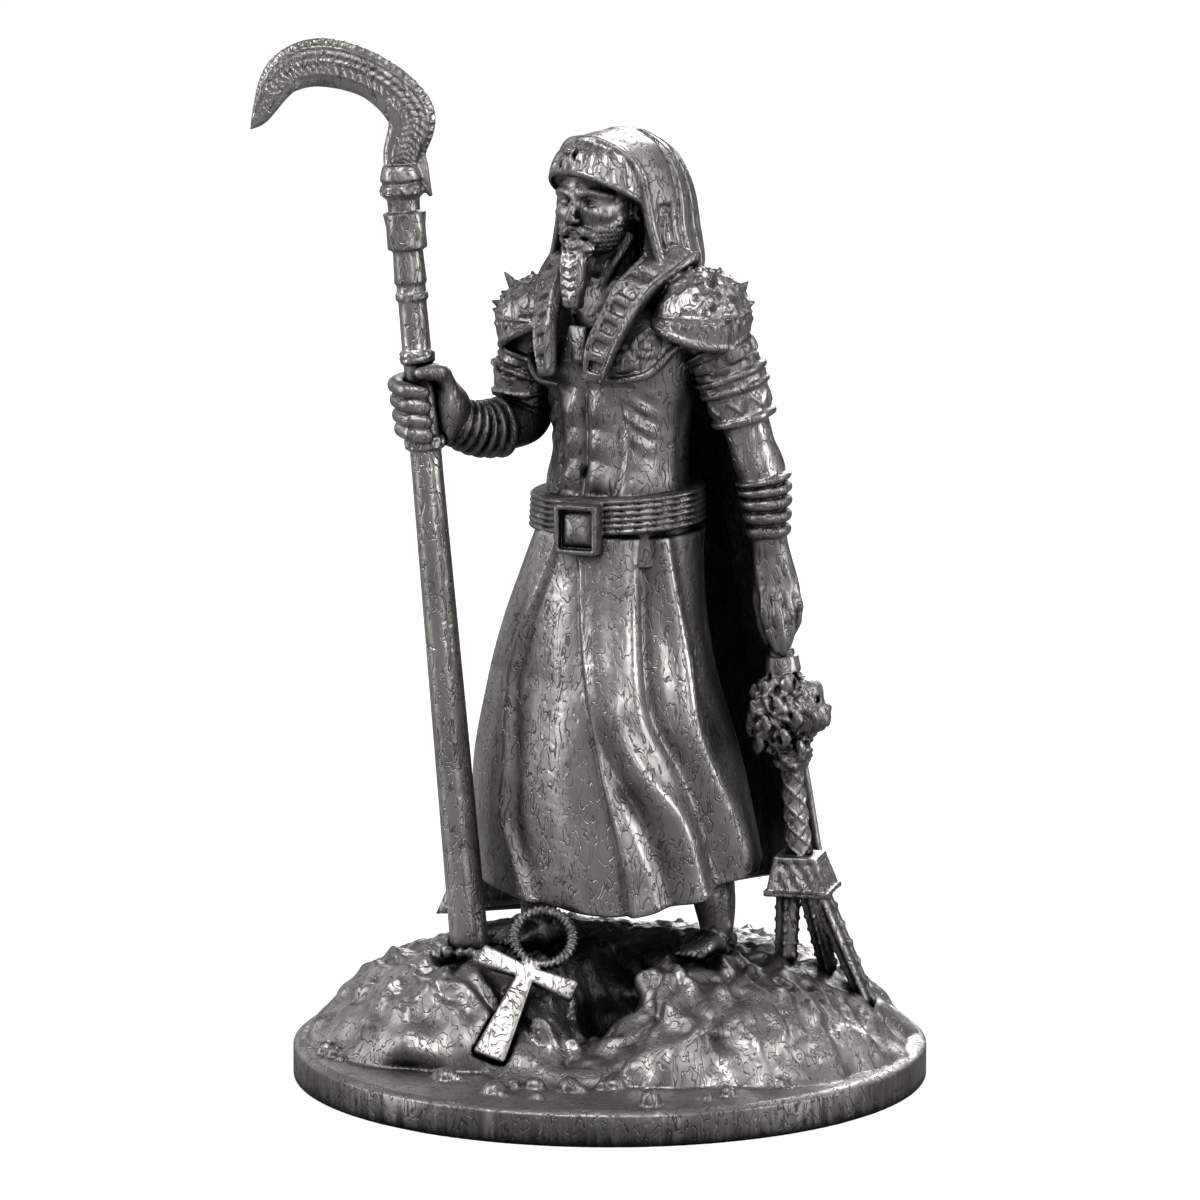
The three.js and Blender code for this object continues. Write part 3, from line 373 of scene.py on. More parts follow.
def mesh_of(name, points, faces):
    """A smooth-shaded mesh object from points in mm and faces that all have as many corners."""
    mesh = bpy.data.meshes.new(name)
    faces = np.asarray(faces, np.int32)
    mesh.vertices.add(len(points))
    mesh.vertices.foreach_set("co", (np.asarray(points, np.float32) * MM).ravel())
    mesh.loops.add(faces.size)
    mesh.loops.foreach_set("vertex_index", faces.ravel())
    mesh.polygons.add(len(faces))
    mesh.polygons.foreach_set("loop_start", np.arange(0, faces.size, faces.shape[1], dtype=np.int32))
    mesh.update(calc_edges=True)
    mesh.shade_smooth()
    made = bpy.data.objects.new(name, mesh)
    bpy.context.scene.collection.objects.link(made)
    return made


def thinned(piece, most):
    """piece with at most so many triangles, kept where the skin bends."""
    sides = sum(len(face.vertices) - 2 for face in piece.data.polygons)
    if sides > most:
        thin = piece.modifiers.new("thin", "DECIMATE")
        thin.ratio = most / sides
        thin.use_collapse_triangulate = True
        graph = bpy.context.evaluated_depsgraph_get()
        mesh = bpy.data.meshes.new_from_object(piece.evaluated_get(graph))
        piece.modifiers.clear()
        piece.data = mesh
    return piece


def merged(name, pieces):
    """One object from several, each of them a closed skin."""
    with bpy.context.temp_override(active_object=pieces[0], selected_editable_objects=pieces):
        bpy.ops.object.join()
    pieces[0].name = name
    pieces[0].data.name = name
    return pieces[0]


def loft(name, rows):
    """A closed skin through rows of points, each row a ring, with both ends closed at their middle."""
    rows = np.asarray(rows)
    along, around = rows.shape[:2]
    points = np.concatenate([rows.reshape(-1, 3), [rows[0].mean(0), rows[-1].mean(0)]])
    index = np.arange(along * around).reshape(along, around)
    after = np.roll(index, -1, axis=1)
    a, b, c, d = index[:-1].ravel(), after[:-1].ravel(), after[1:].ravel(), index[1:].ravel()
    first, last = along * around, along * around + 1
    faces = [np.stack([a, b, c], 1), np.stack([a, c, d], 1)]
    faces.append(np.stack([after[0], index[0], np.full(around, first)], 1))
    faces.append(np.stack([index[-1], after[-1], np.full(around, last)], 1))
    faces = np.concatenate(faces)
    p, q, r = points[faces[:, 0]], points[faces[:, 1]], points[faces[:, 2]]
    if (p * np.cross(q, r)).sum() < 0:
        faces = faces[:, ::-1]
    return mesh_of(name, points, faces)


# Driving dimensions
STRIDE = math.radians(40)
WAIST = 47.5
RIGHTWARD = np.array([math.cos(STRIDE), math.sin(STRIDE), 0])
NEARWARD = np.array([math.sin(STRIDE), -math.cos(STRIDE), 0])
UP = np.array([0, 0, 1.0])
HEAD = {"place": (-0.25, -0.95, 72.0), "turn": math.radians(8)}
HOOD = {"centre": (0, 2.2), "base": 69.6, "crown": 82.2}


class Moved:
    """A clay made about its own origin, turned and put in its place."""

    def __init__(self, clay, place, turn):
        self.clay, self.place, self.turn = clay, np.array(place, float), turn
        middle, half = (clay.low + clay.high) / 2, (clay.high - clay.low) / 2
        centre, reach = self.place + turn @ middle, np.abs(turn) @ half
        self.low, self.high = centre - reach, centre + reach

    def distance(self, points):
        return self.clay.distance((points - self.place) @ self.turn)


# The head stands on its chin: x across, -y ahead, z up from the chin to the crown
def hair_lines(points, size, seed):
    """Short curly locks, from -1 to 1."""
    bend = noise(points / size, seed) * 2.2
    return np.sin(points @ np.array([1.1, 0.6, 3.4]) / size * 1.6 + bend * 3)


def face():
    clay = Clay()
    clay.add(Egg((0, 0.1, 5.2), (3.4, 4.1, 4.0)))
    clay.add(Egg((0, -1.2, 2.7), (2.75, 2.75, 3.0)), blend=0.9)
    clay.add(Egg((0, -3.0, 0.75), (1.05, 0.95, 0.85)), blend=0.7)
    for side in (-1, 1):
        clay.add(Egg((1.75 * side, -2.65, 3.5), (0.95, 0.95, 0.6)), blend=0.6)
    brow = [(-2.55, -2.55, 5.15), (-1.35, -3.75, 5.42), (0, -3.95, 5.2), (1.35, -3.75, 5.42), (2.55, -2.55, 5.15)]
    clay.add(Limb(brow, lambda t: 0.32), blend=0.45)
    for side in (-1, 1):
        clay.cut(Egg((1.32 * side, -4.0, 4.62), (0.86, 0.78, 0.5)), blend=0.35)
        clay.add(Egg((1.3 * side, -2.98, 4.58), (0.66, 0.62, 0.55)), blend=0.05)
        for lift, bow in ((1, 0.36), (-1, 0.27)):
            lid = [(0.58, -3.45, 4.5), (0.95, -3.66, 4.58 + 0.8 * lift * bow), (1.32, -3.66, 4.58 + lift * bow),
                   (1.72, -3.46, 4.58 + 0.7 * lift * bow), (2.05, -3.1, 4.56)]
            clay.add(Limb([(side * x, y, z) for x, y, z in lid], lambda t: 0.11), blend=0.08)
    nose = [(0, -3.8, 5.1), (0, -4.2, 4.5), (0, -4.75, 3.75), (0, -5.0, 3.22)]
    clay.add(Limb(nose, track([(0, (0.34, 0.3)), (0.5, (0.33, 0.4)), (1, (0.43, 0.42))])), blend=0.3)
    for side in (-1, 1):
        clay.add(Egg((0.44 * side, -4.5, 3.1), (0.28, 0.42, 0.27)), blend=0.15)
        clay.cut(Egg((0.22 * side, -4.72, 2.84), (0.12, 0.2, 0.12)), blend=0.06)
    upper = [(-1.0, -3.6, 1.98), (-0.35, -4.12, 2.12), (0, -4.15, 2.06), (0.35, -4.12, 2.12), (1.0, -3.6, 1.98)]
    lower = [(-0.85, -3.65, 1.78), (0, -4.12, 1.66), (0.85, -3.65, 1.78)]
    clay.add(Limb(upper, track([(0, 0.08), (0.5, 0.19), (1, 0.08)])), blend=0.12)
    clay.add(Limb(lower, track([(0, 0.08), (0.5, 0.23), (1, 0.08)])), blend=0.12)
    beard(clay)
    for side in (-1, 1):
        ear(clay, side)
    return clay


def beard(clay):
    """A moustache, a short curled beard along the jaw and a tuft on the chin."""
    for side in (-1, 1):
        for row in range(3):
            lock = [(0.12 * side, -4.35, 2.62 - 0.1 * row), (0.7 * side, -4.2, 2.5 - 0.14 * row),
                    (1.25 * side, -3.75, 2.15 - 0.16 * row), (1.62 * side, -3.35, 1.6 - 0.2 * row)]
            clay.add(Limb(lock, track([(0, 0.14), (0.5, 0.21), (1, 0.09)])), blend=0.07)

    def curls(points):
        side = np.abs(points[:, 0])
        jaw = 2.45 - 0.62 * (points[:, 1] + 3.4) * -0.25 + 0.5 * np.maximum(points[:, 1] + 2.2, 0)
        covered = step(-points[:, 2], -jaw, 0.1) * step(side - 0.35 * points[:, 1], 2.15, 0.12)
        covered = covered * step(-points[:, 1], -0.9, 0.2)
        rows = np.cos(TURN * points[:, 2] / 0.44)
        beads = np.cos(TURN * (points[:, 1] + 0.8 * side) / 0.46 + np.pi * np.floor(points[:, 2] / 0.44 + 0.5))
        return covered * (0.2 + 0.16 * rows * beads + 0.05 * rows)

    clay.press(curls, (-4, -4.5, -0.6), (4, 0.8, 4.6))
    tuft = Clay().add(Egg((0, -3.55, 0.75), (1.5, 1.0, 1.15)))
    tuft.press(lambda points: 0.17 * hair_lines(points, 0.7, 7), (-3, -6, -2), (3, 0, 3))
    clay.add(tuft, blend=0.12)


def ear(clay, side):
    place = np.array([3.4 * side, 0.25, 4.1])
    turn = turned_about_z(0.5 * side)
    clay.add(Egg(place, (0.42, 0.85, 1.35), turn), blend=0.15)
    rim = [(0.45, -0.5, -0.2), (0.6, -0.35, 0.85), (0.68, 0.3, 1.25), (0.68, 0.85, 0.6), (0.6, 0.7, -0.5), (0.5, 0.1, -1.25)]
    rim = [place + turn @ np.array([side * x, y, z]) for x, y, z in rim]
    clay.cut(Egg(place + turn @ np.array([0.45 * side, 0, 0.15]), (0.25, 0.42, 0.75), turn), blend=0.12)
    clay.add(Limb(rim, lambda t: 0.21), blend=0.06)
    clay.add(Egg(place + turn @ np.array([0.32 * side, -0.25, -1.05]), (0.26, 0.36, 0.38), turn), blend=0.12)


def long_beard():
    """The narrow plaited beard that hangs from the chin, square cut, with a border."""
    def plait(t, u, v):
        border = 0.1 * hill((np.abs(u) - 0.86) / 0.12)
        weave = np.sin(TURN * 7 * t + 3.4 * np.abs(u)) * (np.abs(u) < 0.74)
        return np.where(t > 0.18, border + 0.1 * weave, 0)

    line = [(0.0, -3.85, 72.9), (0.2, -4.95, 71.7), (0.3, -5.2, 69.8), (0.25, -5.15, 68.1)]
    size = track([(0, (1.0, 0.75)), (0.35, (1.12, 0.6)), (0.75, (1.08, 0.52)), (1, (0.85, 0.5))])
    clay = Clay().add(Limb(line, size, power=4.0, skin=plait))
    clay.add(Ring((0.25, -5.15, 68.3), (0.62, 0.3), (0.42, 0.22)), blend=0.1)
    return clay


# The headcloth: a hood that flares to the shoulders, open for the face, with two ribbed lappets
HOOD_SIZE = track([
    (69.6, (7.0, 6.3)), (71.8, (6.2, 6.9)), (74, (5.5, 7.2)), (76.2, (5.3, 6.7)), (78.1, (4.9, 5.8)),
    (80.1, (4.0, 4.5)), (81.2, (3.0, 3.0)), (82.2, (1.0, 1.1)),
])
BROW = {"slope": -0.57, "middle": 75.95}
CAP = {"centre": np.array([-0.05, -0.25, 77.5]), "half": np.array([4.45, 5.4, 4.75]), "power": 2.6, "top": 81.8}
FLUTES = 26


def front_edge(height):
    """How far forward the hood's front edge lies."""
    return -0.6 - 0.1 * (height - 75) - 0.1 * np.maximum(height - 78, 0) ** 2


class Cap:
    """The round front of the cloth, over the brow: plain, or with the flutes that fan out from the band."""

    def __init__(self, fluted):
        self.fluted = fluted
        self.low, self.high = CAP["centre"] - CAP["half"], CAP["centre"] + CAP["half"]

    def distance(self, points):
        k = (points - CAP["centre"]) / CAP["half"]
        lift = np.abs(k[:, 2])
        value = k[:, 0] ** 2 + k[:, 1] ** 2 + lift ** CAP["power"]
        slopes = np.stack([2 * k[:, 0], 2 * k[:, 1], CAP["power"] * lift ** (CAP["power"] - 1)], 1) / CAP["half"]
        away = (value - 1) / (np.sqrt(np.square(slopes).sum(1)) + 0.02)
        if self.fluted:
            turn = np.arctan2(k[:, 1], k[:, 0])
            ribs = np.clip(np.cos(turn * FLUTES), -0.4, 1)
            ahead = step(front_edge(points[:, 2]) - 0.35 - points[:, 1], 0, 0.08)
            away = away - 0.2 * ahead * ribs * np.clip(1.15 - lift ** 3, 0, 1)
        return away


class Hood:
    def __init__(self):
        self.low = np.array([-7.6, -5.6, HOOD["base"]])
        self.high = np.array([7.6, 10.2, HOOD["crown"]])
        self.heights = np.linspace(HOOD["base"], HOOD["crown"], 200)
        sizes = HOOD_SIZE(self.heights)
        self.wide, self.deep = sizes[:, 0], sizes[:, 1]
        self.slope = np.gradient(sizes.mean(1), self.heights)

    def distance(self, points):
        x, y = points[:, 0] - HOOD["centre"][0], points[:, 1] - HOOD["centre"][1]
        z = points[:, 2]
        wide = np.interp(z, self.heights, self.wide)
        deep = np.interp(z, self.heights, self.deep)
        slope = np.interp(z, self.heights, self.slope)
        away = oval_distance(np.stack([x, y], 1), np.stack([wide, deep], 1)) / np.sqrt(1 + slope ** 2)
        away = away - self.relief(np.arctan2(y, np.abs(x)), z)
        return np.maximum(away, np.maximum(HOOD["base"] - z, z - HOOD["crown"] - 0.05))

    @staticmethod
    def relief(turn, height):
        """Two bands along the outer edge, a sunk panel with a hanging fold in it, and plain pleats behind."""
        turn = np.degrees(turn)
        lower = step(height, 70.6, 0.15)
        bands = 0.0
        for middle, half in ((15, 6.5), (36, 9.5)):
            bands = bands + 0.22 * step(half - np.abs(turn - middle), 0, 0.5)
        grooves = -0.25 * hill((turn - 25) / 1.3) - 0.22 * hill((turn - 7) / 1.2) - 0.2 * hill((turn - 47) / 1.4)
        panel = step(8 - np.abs(turn + 11), 0, 0.5) * step(height, 71.2, 0.06) * step(-height, -76.2, 0.06)
        fold = step(2.2 - np.abs(turn + 12 + 2.5 * np.sin((height - 72.5) * 1.6)), 0, 0.4)
        fold = fold * step(height, 72.2, 0.08) * step(-height, -75.6, 0.08)
        pleats = 0.12 * np.cos(TURN * turn / 8.6) * step(turn, 50, 1)
        return lower * (bands + grooves + pleats) - 0.42 * panel * (1 - 0.8 * fold)


def hood_border():
    """The raised front edge of the hood, up one side, over the head and down the other."""
    side = []
    for height in mix(70.2, CAP["top"], np.sin(np.linspace(0, math.pi / 2, 9))):
        y = front_edge(height)
        wide, deep = HOOD_SIZE(height)
        sine = np.clip((y - HOOD["centre"][1]) / deep, -1, 1)
        lift = abs(height - CAP["centre"][2]) / CAP["half"][2]
        level = 1 - lift ** CAP["power"] - ((y - CAP["centre"][1]) / CAP["half"][1]) ** 2
        on_cap = CAP["half"][0] * math.sqrt(max(level, 0)) if height > 78 else 0
        side.append((max(wide * math.sqrt(1 - sine ** 2), on_cap), y, height))
    line = side + [(-x, y, z) for x, y, z in side[-2::-1]]

    def groove(t, u, v):
        return -0.1 * hill(u / 0.22)

    return Limb(line, lambda t: (0.48, 0.36), side=(0, 1, 0), power=3.0, skin=groove)


def cap():
    """The fluted front of the cloth, cut off along the brow."""
    slant = math.atan(-BROW["slope"])
    clay = Clay().add(Cap(True))
    clay.cut(Side((0, 0.25, BROW["middle"]), (0, math.sin(slant), math.cos(slant))))
    return clay


def brow_band():
    """A flat band round the brow, level from side to side and falling to the back."""
    points = []
    for turn in np.linspace(math.pi, 2 * math.pi, 15):
        y = 5.4 * math.sin(turn)
        height = BROW["middle"] + BROW["slope"] * (y - 0.25)
        level = math.sqrt(1 - (abs(height - CAP["centre"][2]) / CAP["half"][2]) ** CAP["power"])
        points.append((CAP["centre"][0] + CAP["half"][0] * level * math.cos(turn),
                       CAP["centre"][1] + CAP["half"][1] * level * math.sin(turn), height + 0.1))
    return Limb(points, lambda t: (0.26, 0.2), side=(0, 0, 1), power=3.0, steps=3)


def cobra():
    """The upright cobra on the brow, with a spread hood."""
    clay = Clay()
    body = [(-0.15, -5.5, 79.1), (-0.15, -5.5, 79.8), (-0.16, -5.2, 80.5), (-0.17, -4.65, 81.1)]
    clay.add(Limb(body, track([(0, (0.3, 0.2)), (0.35, (0.6, 0.24)), (0.6, (0.5, 0.24)), (0.8, (0.25, 0.25)), (1, (0.3, 0.3))])))
    clay.add(Egg((-0.17, -5.45, 80.95), (0.3, 0.42, 0.28)), blend=0.1)
    for side in (-1, 1):
        coil = [(-0.15 + 0.3 * side, -5.5, 79.3), (-0.15 + 0.95 * side, -5.35, 79.5), (-0.15 + 0.9 * side, -5.1, 80.1)]
        clay.add(Limb(coil, lambda t: 0.17), blend=0.05)
    return clay


LAPPET_ACROSS = {1: (5.75, 5.65, 5.15, 4.55, 3.85, 3.25), -1: (-4.9, -4.6, -3.9, -3.2, -2.5, -2.0)}
LAPPET_DROP = ((1.6, 72), (-0.2, 70.9), (-3.0, 69.2), (-4.5, 67.1), (-5.6, 64.7), (-6.0, 62.1))
LAPPET_SIZE = track([(0, (2.4, 0.75)), (0.35, (1.75, 0.7)), (0.6, (1.45, 0.62)), (0.85, (1.3, 0.6)), (1, (0.95, 0.5))])


def lappet(side):
    """A band with raised edges and six sunk squares, from the hood over the collar bone to the chest."""
    def squares(t, u, v):
        rows, start = 6, 0.24
        share = (t - start) / (1 - start) * rows
        part = share - np.floor(share)
        inside = step(0.27 - np.abs(part - 0.5), 0, 0.02) * step(0.5 - np.abs(u + 0.05 * side), 0, 0.03)
        inside = inside * (t > start) * (t < 0.985)
        edge = 0.12 * hill((np.abs(u) - 0.86) / 0.09) - 0.1 * hill((np.abs(u) - 0.7) / 0.06)
        return edge - 0.34 * inside

    line = [(x, y, z) for x, (y, z) in zip(LAPPET_ACROSS[side], LAPPET_DROP)]
    return Limb(line, LAPPET_SIZE, side=(1, 0.5 * side, 0), power=4.0, skin=squares)


def head():
    clay = Clay()
    clay.add(Limb([(0.1, 1.3, 66.8), (0, 0.7, 70), (-0.1, 0.1, 74)], lambda t: (2.5, 2.5)))
    for side in (-1, 1):
        clay.add(Limb([(0.5 * side, -2.0, 68.0), (1.5 * side, -1.7, 70.6), (2.5 * side, -0.2, 73.4)], lambda t: 0.42), blend=0.35)
    clay.add(Egg((0, -1.75, 70.6), (0.5, 0.6, 0.7)), blend=0.4)
    clay.add(Moved(face(), HEAD["place"], turned_about_z(HEAD["turn"])))
    slant = math.atan(-BROW["slope"])
    cloth = Clay().add(Hood())
    cloth.cut(Side((0, front_edge(75), 75), (0, 1, 0.1)))
    dome = Clay().add(Cap(False))
    dome.cut(Side((0, 0.25, BROW["middle"]), (0, math.sin(slant), math.cos(slant))))
    cloth.add(dome, blend=0.9)
    cloth.cut(Turned((0, -10, 74.2), (0, 1.2, 74.2), [(0, 4.4), (1, 4.2)]))
    cloth.add(cap())
    cloth.add(hood_border(), blend=0.12)
    cloth.add(brow_band(), blend=0.08)
    cloth.add(cobra(), blend=0.05)
    clay.add(cloth)
    clay.add(long_beard(), blend=0.1)
    return clay


# The staff: one turned rod with collars, and a sickle blade in the plane that the fist turns out
FIT = 0.14
STAFF = {"foot": (-7.75, -9.5, 10.7), "root": (-13.4, -11.75, 78.85), "low": 1.68, "high": 1.22}
STAFF_PROFILE = (
    (0, 1.68), (0.62, 1.36), (0.648, 1.36), (0.651, 1.72), (0.665, 1.72), (0.668, 1.34),
    (0.756, 1.24), (0.760, 1.52), (0.772, 1.52), (0.776, 1.26), (0.836, 1.22), (0.839, 1.42), (0.846, 1.42),
    (0.849, 1.26), (0.857, 1.26), (0.860, 1.42), (0.868, 1.38), (0.900, 1.30), (0.903, 1.72), (0.948, 1.86),
    (0.950, 1.36), (0.965, 1.42), (0.972, 1.95), (0.982, 1.9), (0.985, 1.62), (0.99, 1.86), (1, 1.72), (1.008, 1.5),
)
BLADE_LINE = ((0, -0.6), (0.34, 1.4), (1.03, 4.9), (-2.05, 8.07), (-6.6, 9.45), (-10.0, 8.28), (-12.0, 4.77), (-12.8, 3.55))
BLADE_WIDTH = track([
    (0, 1.4), (0.143, 1.85), (0.286, 2.2), (0.43, 2.1), (0.57, 2.25), (0.714, 1.87), (0.857, 0.88), (1, 0.05),
])
BLADE_THICK = 1.7


def staff():
    def place(across, up):
        return np.array(STAFF["root"]) + RIGHTWARD * across + UP * up

    def turning(share, turn, size):
        socket = step(share, 0.906, 0.001) * step(-share, -0.946, 0.001)
        carved = 0.12 * np.cos(turn * 4 + 60 * (share - 0.926) * np.cos(turn * 2)) * hill((share - 0.926) / 0.014)
        cable = 0.06 * np.cos(turn * 9 + share * 2600) * hill((share - 0.766) / 0.004)
        beads = 0.1 * np.cos(turn * 14) * (hill((share - 0.977) / 0.003) + hill((share - 0.658) / 0.005))
        return socket * carved + cable + beads

    def blade_face(t, u, v):
        """A plain bevel outside, a band of scales along the middle, and a thin edge inside."""
        width = BLADE_WIDTH(t)
        band = hill((v - 0.05) / 0.42) * step(t, 0.1, 0.02) * step(-t, -0.9, 0.02)
        row = np.mod(t * 46 + np.abs(v) * 2.2, 1)
        scale = (0.5 - row) * 0.16 + 0.05 * np.cos(v * width * 9)
        rim = 0.1 * hill((np.abs(v - 0.05) - 0.52) / 0.07)
        ribs = 0.05 * np.cos(t * 330 + v * 3) * step(v, 0.62, 0.03)
        return np.sign(1) * (np.abs(u) > 0.25) * (band * scale + rim + ribs) - 0.12 * step(v, 0.6, 0.03)

    clay = Clay().add(Turned(STAFF["foot"], STAFF["root"], STAFF_PROFILE, skin=turning))
    line = [place(across, up) for across, up in BLADE_LINE]
    clay.add(Limb(line, lambda t: (BLADE_THICK / 2 * min(1, 0.25 + BLADE_WIDTH(t) / 2), BLADE_WIDTH(t)), side=NEARWARD,
                  power=2.2, skin=blade_face), blend=0.1)
    barb = [place(*spot) for spot in ((0.4, 2.4), (1.3, 1.0), (1.8, -0.5), (2.5, -2.0))]
    clay.add(Limb(barb, track([(0, (0.3, 0.9)), (0.6, (0.45, 0.75)), (1, (0.25, 0.2))]), side=NEARWARD, power=3.0), blend=0.15)
    return clay


# The flail
FLAIL = {"top": (13.9, 5.83, 41.6), "end": (15.47, 7.07, 19.2), "rod": 0.62}
STRANDS = (
    ((-1.0, -0.6), (14.3, 6.6, 11.3), (1.0, 1.2)),
    ((0.9, -0.1), (19.8, 10.8, 7.3), (0.95, 0.85)),
    ((0.3, 0.9), (16.3, 9.8, 10.2), (0.9, 0.9)),
)


def flail_at(height, across=0.0, ahead=0.0):
    share = (FLAIL["top"][2] - height) / (FLAIL["top"][2] - FLAIL["end"][2])
    return np.array(mixed(FLAIL["top"], FLAIL["end"], share)) + RIGHTWARD * across + NEARWARD * ahead


def lion():
    """A lion's head with a curly mane, looking away from the figure."""
    clay = Clay()

    def mane(k):
        turn, lift = np.arctan2(k[:, 1], k[:, 0]), k[:, 2]
        curl = np.cos(turn * 7 + 3 * np.sin(lift * 6)) * np.cos(lift * 9 + 2 * np.sin(turn * 5))
        return 0.28 * curl + 0.12 * np.cos(turn * 15 + lift * 14)

    centre = flail_at(32.7, -0.25)
    clay.add(Egg(centre, (2.85, 2.8, 3.8), skin=mane))
    clay.add(Egg(flail_at(33.4, 1.3, 0.2), (2.0, 2.0, 2.3)), blend=0.4)
    clay.add(Egg(flail_at(32.3, 2.45, 0.4), (1.35, 1.25, 1.3)), blend=0.35)
    clay.add(Egg(flail_at(33.1, 3.3, 0.5), (0.55, 0.62, 0.45)), blend=0.2)
    clay.add(Egg(flail_at(34.7, 1.9, 0.4), (1.3, 1.4, 1.0)), blend=0.4)
    for ahead in (1, -1):
        clay.add(Egg(flail_at(35.5, 0.3, 2.0 * ahead), (0.75, 0.75, 0.95)), blend=0.2)
        clay.cut(Egg(flail_at(35.5, 0.75, 2.2 * ahead), (0.35, 0.35, 0.5)), blend=0.1)
        clay.cut(Egg(flail_at(34.0, 2.6, 0.4 + 1.0 * ahead), (0.4, 0.35, 0.3)), blend=0.15)
        clay.add(Egg(flail_at(34.0, 2.35, 0.4 + 0.95 * ahead), (0.3, 0.28, 0.26)))
        clay.add(Limb([flail_at(34.6, 2.6, 0.4 + 0.3 * ahead), flail_at(34.75, 2.55, 0.4 + 0.9 * ahead), flail_at(34.4, 2.1, 0.4 + 1.4 * ahead)],
                      lambda t: 0.2), blend=0.12)
        clay.add(Egg(flail_at(31.9, 3.0, 0.4 + 0.5 * ahead), (0.6, 0.55, 0.5)), blend=0.2)
    mouth = [flail_at(31.5, 2.3, -1.0), flail_at(31.35, 3.4, 0.5), flail_at(31.5, 2.6, 1.8)]
    clay.cut(Limb(mouth, lambda t: 0.2), blend=0.1)
    for lock in range(26):
        turn = lock * 2.4
        height = 35.6 - 5.6 * lock / 26
        bulge = 2.95 * math.sqrt(max(1 - ((height - 32.7) / 4.1) ** 2, 0.1))
        if math.cos(turn) > 0.62:
            continue
        spot = np.array([centre[0], centre[1], 0]) + RIGHTWARD * bulge * math.cos(turn) + NEARWARD * bulge * math.sin(turn)
        hook = [spot + UP * height, spot * np.array([1, 1, 0]) + UP * (height - 0.7) + 0.3 * RIGHTWARD * math.sin(turn),
                spot + UP * (height - 1.4)]
        clay.add(Limb(hook, track([(0, 0.34), (0.5, 0.42), (1, 0.15)])), blend=0.1)
    return clay


class Pyramid:
    """A four-sided cap: half its width at the top and at the bottom, with carved panels."""

    def __init__(self, low, high, half_low, half_high, turn):
        self.base, self.top = np.array(low), np.array(high)
        self.half_low, self.half_high, self.turn = half_low, half_high, turn
        self.low = np.minimum(self.base, self.top) - np.array([half_low * 1.5, half_low * 1.5, 0.3])
        self.high = np.maximum(self.base, self.top) + np.array([half_low * 1.5, half_low * 1.5, 0.3])

    def distance(self, points):
        height = self.top[2] - self.base[2]
        share = np.clip((points[:, 2] - self.base[2]) / height, 0, 1)
        k = (points - mix(self.base, self.top, share[:, None])) @ self.turn
        out = np.maximum(np.abs(k[:, 0]), np.abs(k[:, 1]))
        across = np.where(np.abs(k[:, 0]) > np.abs(k[:, 1]), k[:, 1], k[:, 0])
        half = mix(self.half_low, self.half_high, share)
        panel = step(0.74 - np.abs(across / half), 0, 0.03) * step(share, 0.14, 0.02) * step(-share, -0.86, 0.02)
        figure = 0.14 * np.cos(across * 5.2) * np.cos((share - 0.5) * 9)
        away = 0.9 * (out - half + panel * (0.16 - figure))
        return np.maximum(away, np.maximum(self.base[2] - points[:, 2], points[:, 2] - self.top[2]))


def strand(top, end, size):
    """A ribbed thong with rows of studs."""
    def studs(t, u, v):
        turn = np.arctan2(v, u)
        ribs = 0.12 * np.cos(turn * 6)
        nails = 0.16 * np.clip(np.cos(TURN * t * 7), 0, 1) ** 2 * np.clip(np.cos(turn * 6), 0, 1)
        return ribs + nails - 0.05

    start = flail_at(18.6, *top)
    line = [start, mixed(start, end, 0.5), end]
    return Limb(line, lambda t: np.array(size) * (1 - 0.15 * t), skin=studs, steps=6)


def flail():
    turn = turned_about_z(-0.32 + math.pi / 4)
    clay = Clay().add(Turned(flail_at(42.2), flail_at(36.2), [(0, 0.55), (0.04, 0.62), (1, 0.62)]))
    clay.add(Turned(flail_at(38.3), flail_at(36.2), [(0, 0.85), (0.1, 1.1), (0.3, 1.1), (0.32, 1.4), (1, 1.55)]), blend=0.1)
    clay.add(lion(), blend=0.15)

    def jaw_curls(share, angle, size):
        return 0.14 * np.cos(angle * 6 + 8 * share) + 0.08 * np.cos(share * 30)

    clay.add(Turned(flail_at(30.3, 0.1), flail_at(27.7, 0.1), [(0, 1.35), (0.35, 1.7), (0.75, 1.6), (1, 1.15)], skin=jaw_curls), blend=0.2)

    def lattice(share, angle, size):
        first = hill(np.sin(angle * 2 + share * 14) / 0.28)
        second = hill(np.sin(angle * 2 - share * 14) / 0.28)
        return 0.17 * np.maximum(first, second) + 0.1 * hill(np.sin(angle * 2) / 0.2) * hill(np.sin(share * 14) / 0.25)

    clay.add(Turned(flail_at(28.2), flail_at(20.2), [(0, 0.85), (1, 1.08)], skin=lattice))
    clay.add(Pyramid(flail_at(16.95), flail_at(20.25), 2.75, 1.9, turn))
    clay.add(Pyramid(flail_at(16.9), flail_at(17.4), 2.85, 2.85, turn))
    for thong in STRANDS:
        clay.add(strand(*thong))
    return clay


# The ankh leans back on the rocks and is rolled a little to one side
ANKH = {"foot": (1.1, -17.1, 4.8), "lean": math.radians(33), "roll": math.radians(23), "thick": 0.95}


